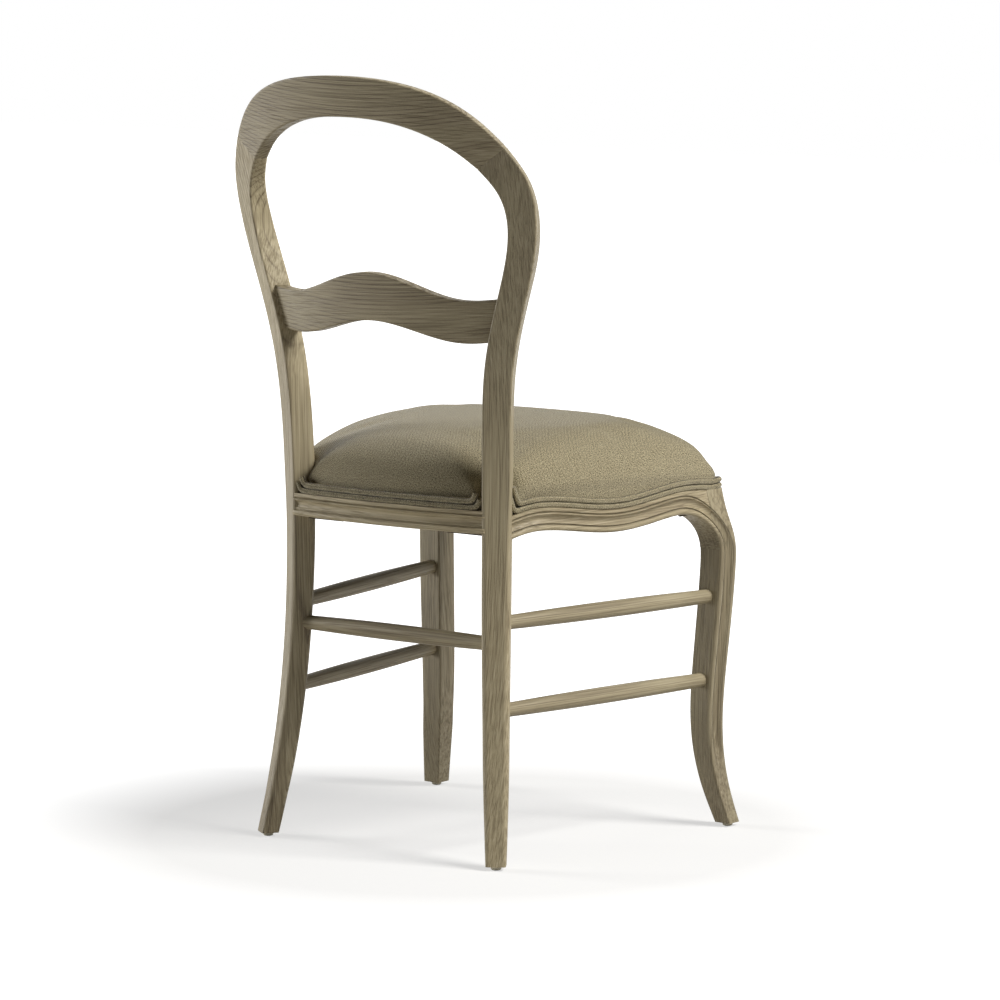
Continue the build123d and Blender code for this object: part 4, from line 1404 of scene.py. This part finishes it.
@dataclass
class Upholstery:
    """Tight seat: crowned linen cover on foam, double welt, webbing and dust cloth."""

    seat: SeatFrame
    back: HoopBack
    skirt_inset: float = 7.5
    cover_bottom: float = 436.0
    crown_foot: float = 452.0
    crown_top: float = 521.5
    rear_start: float = -21.0
    middle_y: float = -208.0
    notch_room: float = 2.0
    rear_pull: float = 0.3
    notch_start: float = 12.0
    notch_slope: float = 1.2
    relax_spread: float = 22.0
    relax_rounds: int = 4
    voxel: float = 6.0
    carry: float = 12.0
    pressure: float = 4.0
    give: float = 5.0
    hold: float = 12.0
    # Edges of the soft pieces stay crisp only above this many degrees
    crease: float = 80.0
    cord: float = 3.4
    cord_pitch: float = 7.2
    cord_depth: float = 4.4
    corner_rise: float = 6.0
    corner_swell: float = 5.0
    corner_spread: float = 13.0
    side_turn: tuple[float, float] = (8.0, 24.0)
    rear_turn: tuple[float, float] = (4.0, 12.0)
    rear_reach: float = 144.0
    dust_z: float = 409.0
    dust_sag: float = 5.0
    web_width: float = 60.0
    web_pitch: float = 92.0
    web_thick: float = 1.2
    web_end: float = 14.0
    # A crosswise strap's half length at one place along Y, and how it shrinks from there to the rear
    web_reach: float = 205.0
    web_reach_y: float = -300.0
    web_taper: float = 0.15
    web_middle_y: float = -215.0
    dust_room: float = 0.6
    dust_thick: float = 0.7
    # Rounding of the cover's outline, from the crown's foot to its top, in points along a ring
    ring_soft: float = 0.6
    ring_softer: float = 14.0
    top_close: float = 0.985
    top_dome: float = 1.8
    relax_rise: float = 20.0
    held_rise: float = 3.0
    frames: int = 20
    # Rounding of the welts' turns, in points along the path
    front_soft: float = 5.0
    rear_soft: float = 9.0
    soft_reach: int = 20
    # Where the lower and the upper cord leave the post
    cord_starts: tuple[float, float] = (3.0, 9.0)

    # Crown rows: share of the rise, inset of the sides, further pull of the corners
    crown = (
        (0.0, 0.0, 0.0),
        (0.12, -1.5, 3.0),
        (0.27, -0.5, 5.0),
        (0.55, 7.0, 1.0),
        (0.8, 24.0, 2.0),
        (0.95, 54.0, 4.0),
        (1.0, 120.0, 6.0),
    )

    def arc(self, first: Array, middle: Array, last: Array, count: int) -> Array:
        """Circle arc through three points, without its last point.

        Args:
            first: start.
            middle: point between.
            last: end.
            count: points wanted.

        Returns:
            Points X Y.
        """
        chord = last - first
        across = np.array([-chord[1], chord[0]]) / np.linalg.norm(chord)
        half = np.linalg.norm(chord) / 2.0
        bow = (middle - (first + last) / 2.0) @ across
        radius = (half**2 + bow**2) / (2.0 * bow)
        centre = (first + last) / 2.0 + across * (bow - radius)
        reach = math.asin(half / radius)
        angle = np.linspace(-reach, reach, count, endpoint=False)[:, None]
        return centre + radius * (np.cos(angle) * across + np.sin(angle) * chord / (2.0 * half))

    def outline(self, inset: float, pull: float, count: int = 60) -> Array:
        """Seat outline inside the rails' face lines: four bowed sides between mitred corners.

        A corner lies at C - (n1+n2)*inset/(1+n1.n2) - unit(n1+n2)*pull, n1 and n2 the outward directions
        there.

        Args:
            inset: how far the sides are drawn in.
            pull: how much further the corners are.
            count: points on each side.

        Returns:
            Points X Y, anticlockwise from the rear right corner backwards along the sides.
        """
        seat = self.seat
        corners = []
        for a, other in ((self.rear_start, seat.rear_line), (seat.side_length, seat.front_line)):
            at_rear = other == seat.rear_line
            spots, out = seat.side_line(np.array([a]))
            other_out = other(spots[:, 0] if at_rear else np.array([0.0]))[1][0]
            both = out[0] + other_out
            share = self.rear_pull if at_rear else 1.0
            drawn = both * inset / (1.0 + out[0] @ other_out) + unit(both) * pull * share
            corners.append(spots[0] - drawn)
        flip = np.array([-1.0, 1.0])
        rear, front = corners
        side_place, side_out = seat.side_line(np.array([seat.side_length / 2.0]))
        side_mid = side_place[0] - side_out[0] * inset
        rear_mid = np.array([0.0, seat.rear_y - inset])
        front_mid = np.array([0.0, seat.corner[1] - seat.front_bow + inset])
        sides = [
            (rear * flip, rear_mid, rear),
            (rear, side_mid, front),
            (front, front_mid, front * flip),
            (front * flip, side_mid * flip, rear * flip),
        ]
        return np.concatenate([self.arc(*side, count) for side in sides])

    def softened(self, ring: Array, width: float) -> Array:
        """Ring with its corners rounded: a circular running mean with a Gaussian weight.

        Args:
            ring: points X Y.
            width: spread of the weight in points.

        Returns:
            The rounded ring.
        """
        step = np.arange(len(ring))
        lag = np.minimum(step, len(ring) - step)
        weight = bell(lag, width)
        spectrum = np.fft.fft(weight / weight.sum())[:, None]
        return np.fft.ifft(np.fft.fft(ring, axis=0) * spectrum, axis=0).real

    def post_gaps(self, points: Array) -> tuple[Array, Array, Array]:
        """How points lie to the two posts, each a level rectangle turned about Z, grown by the notch's room.

        A point inside leaves it along the level way to the seat's middle: by the least of (h*sign(d) - p)/d
        over the rectangle's two axes.

        Args:
            points: any shape, last axis X Y Z.

        Returns:
            Level moves that clear the posts, distance to the nearer post, distance to its inner rear edge.
        """
        table = np.array(self.back.posts)
        z = np.clip(points[..., 2], table[0, 0], table[-1, 0])
        rows = cubic(table[:, 0], table[:, 1:], z.ravel()).reshape(z.shape + (5,))
        x, y, width, depth, turn = np.moveaxis(rows, -1, 0)
        moves, gaps, edges = [], [], []
        for side in Side:
            angle = np.radians(turn) * side.value
            axes = np.stack([np.cos(angle), -np.sin(angle), np.sin(angle), np.cos(angle)], axis=-1)
            axes = axes.reshape(z.shape + (2, 2))
            offset = points[..., :2] - np.stack([x * side.value, y], axis=-1)
            local = (axes * offset[..., None, :]).sum(axis=-1)
            half = np.stack([width, depth], axis=-1) / 2.0 + self.notch_room
            inward = unit(np.array([0.0, self.middle_y]) - np.array([x.mean() * side.value, y.mean()]))
            heading = (axes * inward).sum(axis=-1)
            way = ((half * np.sign(heading) - local) / heading).min(axis=-1)
            inside = (np.abs(local) < half).all(axis=-1)
            moves.append(np.where(inside, way, 0.0)[..., None] * inward)
            gaps.append(np.linalg.norm(np.maximum(np.abs(local) - half, 0.0), axis=-1))
            edges.append(np.linalg.norm(local - half * np.array([-side.value, 1.0]), axis=-1))
        return sum(moves), np.minimum(*gaps), np.minimum(*edges)

    def notched(self, points: Array) -> Array:
        """Points pushed out of the posts, the cover sloping down to the welt at each post's inner rear edge.

        A height h above the crown's foot and the slope's height s there give h*s/(h^4+s^4)^(1/4), a soft
        minimum. The cover is then relaxed near the posts: each point moves to the mean of its four
        neighbours, some rounds over.

        Args:
            points: rows, columns, X Y Z.

        Returns:
            The moved points.
        """
        move, gap, edge = self.post_gaps(points)
        moved = points.copy()
        moved[..., :2] += move
        high = np.maximum(points[..., 2] - self.crown_foot, 0.01)
        slope = np.maximum(edge - self.notch_start, 0.01) * self.notch_slope
        moved[..., 2] += high * slope / (high**4 + slope**4) ** 0.25 - high
        risen = ramp(self.crown_foot, self.crown_foot + self.relax_rise, points[..., 2])
        free = (bell(gap, self.relax_spread) * risen)[1:-1, :, None]
        for _ in range(self.relax_rounds):
            beside = np.roll(moved, 1, axis=1)[1:-1] + np.roll(moved, -1, axis=1)[1:-1]
            beside = beside + moved[:-2] + moved[2:]
            moved[1:-1] += free * (beside / 4.0 - moved[1:-1])
        return moved

    def settled(self, rows: Array) -> Array:
        """Cover after a cloth simulation under pressure.

        A voxel copy of the closed cover is blown up with its skirt and its notches held. Each point's move is
        capped, and carried back to the cover as a mean weighted by exp(-(distance/carry)^2).

        Args:
            rows: rows, columns, X Y Z.

        Returns:
            The same points, moved.
        """
        scene = bpy.context.scene
        shell = bpy.data.objects.new("cover_form", Skin().grid(rows).mesh("cover_form", self.crease))
        scene.collection.objects.link(shell)
        remesh = shell.modifiers.new("voxels", "REMESH")
        remesh.mode = "VOXEL"
        remesh.voxel_size = self.voxel * MM
        ready = bpy.context.evaluated_depsgraph_get()
        blank = bpy.data.meshes.new_from_object(shell.evaluated_get(ready))
        pad = bpy.data.objects.new("cover_pad", blank)
        scene.collection.objects.link(pad)
        before = self.read_points(pad.data)
        low = before[:, 2] < self.crown_foot + self.held_rise
        held = low | (self.post_gaps(before)[1] < self.hold)
        pad.vertex_groups.new(name="held").add(np.flatnonzero(held).tolist(), 1.0, "REPLACE")
        cloth = pad.modifiers.new("cloth", "CLOTH")
        cloth.settings.vertex_group_mass = "held"
        cloth.settings.use_pressure = True
        cloth.settings.uniform_pressure_force = self.pressure
        cloth.settings.effector_weights.gravity = 0.0
        cloth.collision_settings.use_collision = False
        for step in range(1, self.frames + 1):
            scene.frame_set(step)
        ready = bpy.context.evaluated_depsgraph_get()
        move = self.read_points(pad.evaluated_get(ready).data) - before
        length = np.linalg.norm(move, axis=1, keepdims=True)
        move *= np.minimum(1.0, self.give / np.maximum(length, 1e-9))
        LOG.info("cover settled: %d points, longest move %.1f mm", len(move), float(length.max()))
        moved = rows.copy()
        for index, row in enumerate(rows):
            square = (row**2).sum(axis=1)[:, None] + (before**2).sum(axis=1) - 2.0 * row @ before.T
            weight = np.exp(-np.maximum(square, 0.0) / self.carry**2)
            moved[index] += weight @ move / weight.sum(axis=1, keepdims=True)
        scene.frame_set(1)
        for thing in (pad, shell):
            mesh = thing.data
            bpy.data.objects.remove(thing)
            bpy.data.meshes.remove(mesh)
        return moved

    def read_points(self, mesh: bpy.types.Mesh) -> Array:
        """A mesh's points in maker's millimetres.

        Args:
            mesh: the mesh, in metres.

        Returns:
            Rows of X Y Z.
        """
        flat = np.empty(len(mesh.vertices) * 3, dtype=np.float32)
        mesh.vertices.foreach_get("co", flat)
        return measured(flat.reshape(-1, 3).astype(float))

    def cushion_rows(self) -> tuple[Array, Array]:
        """Crowned cover from its skirt to the middle of the top, and each point's place in the cloth.

        Rings of outline are carried up through the crown rows by a cubic curve, then run in to the middle
        under a dome 2r-r^2. A ring at a share of the rise is rounded by soft + softer*share^1.5. The cloth's
        UV is the way up each line from the middle, in the direction in which the line leaves it.

        Returns:
            Rows, columns, X Y Z in millimetres, and rows, columns, U V in metres.
        """
        rise = self.crown_top - self.crown_foot
        rings = []
        for share, inset, pull in self.crown:
            soft = self.ring_soft + self.ring_softer * share**1.5
            ring = self.softened(self.outline(self.skirt_inset + inset, pull), soft)
            level = np.full((len(ring), 1), self.crown_foot + share * rise)
            rings.append(np.concatenate([ring, level], axis=1))
        table = np.stack(rings)
        body = cubic(np.arange(len(rings), dtype=float), table, np.linspace(0.0, len(rings) - 1.0, 56))
        skirt = np.repeat(body[:1], 4, axis=0)
        skirt[:, :, 2] = np.linspace(self.cover_bottom, self.crown_foot, 5)[:-1, None]
        middle = np.array([0.0, self.middle_y])
        run = np.linspace(0.0, 1.0, 22)[1:, None, None]
        top = np.repeat(body[-1:], len(run), axis=0)
        top[..., :2] = middle + (top[..., :2] - middle) * (1.0 - self.top_close * run)
        top[..., 2:] += self.top_dome * (2.0 * run - run**2)
        rows = np.concatenate([skirt, body, top])
        way = np.linalg.norm(np.diff(rows, axis=0), axis=-1)[::-1].cumsum(axis=0)[::-1]
        way = np.concatenate([way, 0.0 * way[:1]]) * MM
        heading = unit(body[-1, :, :2] - middle)
        return self.notched(rows), way[..., None] * heading

    def cushion(self) -> None:
        """Makes the seat cover in place of the cover and the foam under it."""
        rows, flat = self.cushion_rows()
        rows = self.settled(rows)
        linen, nodes = SEAT_LINEN.material(), ["seat_cover", "foam_pad"]
        cover = Skin().grid(rows, flat).piece("seat_cover", linen, Slot.LINEN, nodes, self.crease)

    def tube(self, path: Array, out: Array, radius: float, count: int = 16) -> tuple[Array, Array]:
        """Round cord carried along a path, with a slow unevenness of its radius.

        Args:
            path: points X Y Z.
            out: outward direction at each point; the section's other axis is out x tangent.
            radius: radius of the cord.
            count: points round.

        Returns:
            Rows, points round, X Y Z, and their U V in metres.
        """
        tangent = unit(np.gradient(path, axis=0))
        up = unit(np.cross(out, tangent))
        angle = np.linspace(0.0, 2.0 * math.pi, count, endpoint=False)
        way = chords(path)
        # Two slow waves of a few percent, out of step with each other
        uneven = 1.0 + 0.035 * np.sin(way / 4.1) + 0.03 * np.sin(way / 7.3 + 1.0)
        swell = radius * uneven[:, None, None]
        ring = out[:, None] * np.cos(angle)[:, None] + up[:, None] * np.sin(angle)[:, None]
        flat = np.stack(np.broadcast_arrays(way[:, None] * MM, angle * radius * MM), axis=-1)
        return path[:, None] + swell * ring, flat

    def upturned(
        self,
        line: FaceLine,
        a: Array,
        z: Array,
        ends: Sequence[int] = (),
        turn: tuple[float, float] = (0.0, 0.0),
    ) -> Array:
        """Cord's middle along a face line with its ends turned up beside the posts.

        Args:
            line: face line.
            a: stations along it.
            z: heights at the stations.
            ends: which ends turn up, 0 for the first and -1 for the last.
            turn: how far they lean towards the post and how high they rise.

        Returns:
            Rows of X Y Z and the outward direction's X Y Z.
        """
        climb = np.linspace(0.0, 1.0, 20)[1:]
        for end in ends:
            away = -1.0 if end == 0 else 1.0
            more_a, more_z = a[end] + away * turn[0] * climb, z[end] + turn[1] * climb
            if end == 0:
                a, z = np.concatenate([more_a[::-1], a]), np.concatenate([more_z[::-1], z])
            else:
                a, z = np.concatenate([a, more_a]), np.concatenate([z, more_z])
        places, out = line(a)
        middle = places - out * self.cord_depth
        return np.concatenate([middle, z[:, None], out, 0.0 * z[:, None]], axis=1)

    def smoothed(self, rows: Array, width: float) -> Array:
        """Rows after a running mean with a Gaussian weight, so that the turns become round.

        Args:
            rows: numbers along a path.
            width: spread of the weight in rows.

        Returns:
            The smoothed rows.
        """
        reach = self.soft_reach
        kernel = bell(np.arange(-reach, reach + 1), width)
        kernel /= kernel.sum()
        first, last = (np.repeat(end, reach, axis=0) for end in (rows[:1], rows[-1:]))
        wide = np.concatenate([first, rows, last])
        return np.stack([np.convolve(column, kernel, mode="valid") for column in wide.T], axis=-1)

    def front_welt_path(self, lift: float, start: float) -> Array:
        """Line of one cord from the left post round the front to the right post.

        At a front corner it swells out and rises over the leg, both by exp(-(gap/spread)^2).

        Args:
            lift: height of the cord's middle above the rails' lower edges.
            start: where the cord leaves the post, along the side.

        Returns:
            Rows of X Y Z and the outward direction's X Y Z.
        """
        seat = self.seat
        a = np.linspace(start, seat.side_length, 330)[:-1]
        left = self.upturned(seat.side_line, a, seat.side_wave(a) + lift, [0], self.side_turn)
        b = np.linspace(0.0, seat.front_length, 420)
        front = self.upturned(seat.front_line, b, seat.front_wave(b) + lift)
        left = left[left[:, 1] > seat.corner[1] + self.cord_depth]
        front = front[np.abs(front[:, 0]) < seat.corner[0] - self.cord_depth]
        right = left[::-1] * np.array([-1.0, 1.0, 1.0, -1.0, 1.0, 1.0])
        rows = np.concatenate([left, front, right])
        gap = np.hypot(np.abs(rows[:, 0]) - seat.corner[0], rows[:, 1] - seat.corner[1])
        near = bell(gap, self.corner_spread)
        rows[:, :2] += rows[:, 3:5] * (self.corner_swell * near)[:, None]
        rows[:, 2] += self.corner_rise * near
        return self.smoothed(rows, self.front_soft)

    def rear_welt_path(self, lift: float, start: float) -> Array:
        """Line of one cord along the rear rail, from the right post to the left one.

        Args:
            lift: height of the cord's middle above the rail's lower edge.
            start: how much shorter the cord is at each end.

        Returns:
            Rows of X Y Z and the outward direction's X Y Z.
        """
        reach = self.rear_reach - start
        a = np.linspace(-reach, reach, 280)
        level = np.full(len(a), self.seat.rear_bottom + lift)
        rows = self.upturned(self.seat.rear_line, a, level, [0, -1], self.rear_turn)
        return self.smoothed(rows, self.rear_soft)

    def welts(self) -> None:
        """Makes the two double welts."""
        linen = WELT_LINEN.material()
        base = self.seat.rail_face + self.cord
        for name, path in (("welt_front", self.front_welt_path), ("welt_rear", self.rear_welt_path)):
            skin = Skin()
            for lift, start in zip((base, base + self.cord_pitch), self.cord_starts):
                rows = path(lift, start)
                skin.grid(*self.tube(rows[:, :3], unit(rows[:, 3:]), self.cord))
            skin.piece(name, linen, Slot.WELT, crease=self.crease)

    def dust_cloth(self) -> None:
        """Makes the dust cloth: a thin sheet inside the rails that sags sag*(1-r^2) towards its middle."""
        ring = self.outline(self.seat.rail_thick + self.dust_room, 0.0, 24)
        middle = np.array([0.0, self.middle_y])
        share = np.linspace(1.0, 0.02, 20)[:, None, None]
        level = self.dust_z - self.dust_sag * (1.0 - share**2) + 0.0 * ring[None, :, :1]
        sheet = np.concatenate([middle + (ring - middle) * share, level], axis=-1)
        skin = Skin().grid(np.concatenate([sheet[::-1], sheet + UP * self.dust_thick]))
        cloth = skin.piece("dust_cover", DUST_CLOTH.material(), Slot.DUST, crease=60.0)

    def strap_grid(self, start: Array, end: Array) -> Array:
        """Flat strap drawn tight between two points, as a loop of four corners at each station.

        Args:
            start: one end.
            end: other end.

        Returns:
            Stations, corners, X Y Z.
        """
        line = start + (end - start) * np.linspace(0.0, 1.0, 30)[:, None]
        across = unit(np.cross(end - start, UP)) * self.web_width / 2.0
        up = UP * self.web_thick
        return np.stack([line - across, line + across, line + across + up, line - across + up], axis=1)

    def strap_ends(self, layer: Strap, offset: float) -> tuple[Array, Array]:
        """Ends of one strap; a crosswise one reaches reach - taper*(y - reach_y) to either side.

        Args:
            layer: which way it runs.
            offset: its distance from the middle strap.

        Returns:
            Both ends, X Y Z.
        """
        top = self.seat.rail_top
        if layer == Strap.LENGTHWISE:
            low, high = (measured(np.array(corner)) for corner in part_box(layer.value)[:2])
            ends = (low[1] + self.web_end, high[1] - self.web_end)
            return np.array([offset, ends[0], top]), np.array([offset, ends[1], top])
        y = self.web_middle_y + offset
        reach = self.web_reach - self.web_taper * (y - self.web_reach_y)
        top += self.web_thick
        return np.array([-reach, y, top]), np.array([reach, y, top])

    def webbing(self) -> None:
        """Makes the straps on the rails, three each way."""
        web = WEBBING.material()
        for layer in Strap:
            skin = Skin()
            for index in (-1.0, 0.0, 1.0):
                skin.grid(self.strap_grid(*self.strap_ends(layer, index * self.web_pitch)))
            skin.piece(layer.value, web, Slot.WEBBING)

    def build(self) -> None:
        """Makes the seat's soft pieces."""
        self.cushion()
        self.welts()
        self.dust_cloth()
        self.webbing()


def dress_inner_pieces() -> None:
    """Gives the pieces that keep their CAD shape their material: corner blocks, screws and dowels."""
    block, zinc, beech = BLOCK_WOOD.material(), ZINC.material(), BEECH.material()
    for name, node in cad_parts.items():
        finish = {"corner_block_screws": zinc, "crest_dowels": beech}.get(name)
        if name.startswith("corner_block") and finish is None:
            finish = block
        if finish is not None:
            node.data.materials.clear()
            node.data.materials.append(finish)
            LOG.info("%s: %s", name, finish.name)


# Studio


@dataclass
class Studio:
    """Camera at the photograph's angle, a pale floor and soft lamps."""

    eye: tuple[float, float, float] = (-4.01013, 5.0914, 1.24237)
    target: tuple[float, float, float] = (0.0, -0.07286, 0.41638)
    lens_mm: float = 187.2
    sensor_mm: float = 36.0
    floor_half: float = 12.0
    floor_glow: float = 1.55
    floor_share: float = 0.373
    floor_fade: tuple[float, float] = (0.4, 0.9)
    paper: str = "#cfcdc9"
    white: str = "#ffffff"
    ambient: float = 0.01
    lamp_side: float = 1.5
    lamp_aim: tuple[float, float, float] = (0.0, 0.0, 0.45)

    # Place in metres and watts of each lamp
    lamps = {"key": ((-2.93, -0.52, 3.13), 190.0), "fill": ((3.68, 1.34, 1.28), 105.0)}

    def aimed(self, data: bpy.types.ID, spot: Sequence[float], aim: Sequence[float]) -> bpy.types.Object:
        """Adds a camera or lamp that looks straight at a point.

        Args:
            data: the camera or lamp.
            spot: its place in metres.
            aim: the point that it looks at.

        Returns:
            The object.
        """
        thing = bpy.data.objects.new(data.name, data)
        thing.location = spot
        thing.rotation_euler = (Vector(aim) - Vector(spot)).to_track_quat("-Z", "Y").to_euler()
        bpy.context.scene.collection.objects.link(thing)
        return thing

    def camera(self) -> None:
        """Sets the camera, with no shift."""
        data = bpy.data.cameras.new("camera")
        data.lens = self.lens_mm
        data.sensor_width = self.sensor_mm
        bpy.context.scene.camera = self.aimed(data, self.eye, self.target)

    def light(self) -> None:
        """Adds the square soft lamps."""
        for name, (spot, watts) in self.lamps.items():
            data = bpy.data.lights.new(name, "AREA")
            data.shape = "SQUARE"
            data.size = self.lamp_side
            data.energy = watts
            self.aimed(data, spot, self.lamp_aim)

    def seen_directly(self, tree: bpy.types.NodeTree) -> bpy.types.NodeSocket:
        """One for camera, glossy and transmission rays, else nothing.

        Args:
            tree: node tree to add to.

        Returns:
            The socket with that number.
        """
        path = add(tree, "LightPath").outputs
        bright = add(tree, "Math", {0: path["Is Camera Ray"], 1: path["Is Glossy Ray"]}, operation="MAXIMUM")
        return add(
            tree, "Math", {0: bright.outputs[0], 1: path["Is Transmission Ray"]}, operation="MAXIMUM"
        ).outputs[0]

    def world(self) -> None:
        """White backdrop for the eye, and a low even light for the object."""
        world = bpy.data.worlds.new("studio")
        world.use_nodes = True
        bpy.context.scene.world = world
        tree = world.node_tree
        tree.nodes.clear()
        seen = self.seen_directly(tree)
        levels = {0: seen, 1: 1.0 - self.ambient, 2: self.ambient}
        strength = add(tree, "Math", levels, operation="MULTIPLY_ADD").outputs[0]
        shade = add(tree, "Background", {"Color": linear(self.white), "Strength": strength})
        add(tree, "OutputWorld", {"Surface": shade.outputs[0]})

    def floor(self) -> None:
        """Pale floor that keeps the chair's shadow and runs into the white backdrop."""
        half = self.floor_half
        mesh = bpy.data.meshes.new("floor")
        corners = [(-half, -half, 0.0), (half, -half, 0.0), (half, half, 0.0), (-half, half, 0.0)]
        mesh.from_pydata(corners, [], [(0, 1, 2, 3)])
        thing = bpy.data.objects.new("floor", mesh)
        bpy.context.scene.collection.objects.link(thing)
        material, tree = fresh_material("pale_studio_floor")
        paper = add(tree, "BsdfDiffuse", {"Color": linear(self.paper)})
        glow = add(tree, "Emission", {"Color": linear(self.white), "Strength": self.floor_glow})
        spot = add(tree, "TexCoord").outputs["Object"]
        away = add(tree, "VectorMath", {0: spot}, operation="LENGTH").outputs["Value"]
        near, far = self.floor_fade
        fading = {"Value": away, "From Min": near, "From Max": far, "To Min": self.floor_share}
        fade = add(tree, "MapRange", fading).outputs["Result"]
        share = add(tree, "Math", {0: self.seen_directly(tree), 1: fade}, operation="MULTIPLY").outputs[0]
        mixed = add(tree, "MixShader", {0: share, 1: paper.outputs[0], 2: glow.outputs[0]})
        add(tree, "OutputMaterial", {"Surface": mixed.outputs[0]})
        mesh.materials.append(material)

    def build(self) -> None:
        """Sets up the camera, light and floor."""
        bpy.context.scene.view_settings.view_transform = "Standard"
        self.camera()
        self.world()
        self.floor()
        self.light()


def main() -> None:
    """Builds the chair and its studio in order."""
    logging.basicConfig(level=logging.INFO, format="%(message)s")
    Studio().build()
    back, seat = HoopBack(), SeatFrame()
    back.build()
    seat.build()
    Stretchers().build()
    Glides().build()
    Upholstery(seat, back).build()
    dress_inner_pieces()


if __name__ == "__main__":
    main()
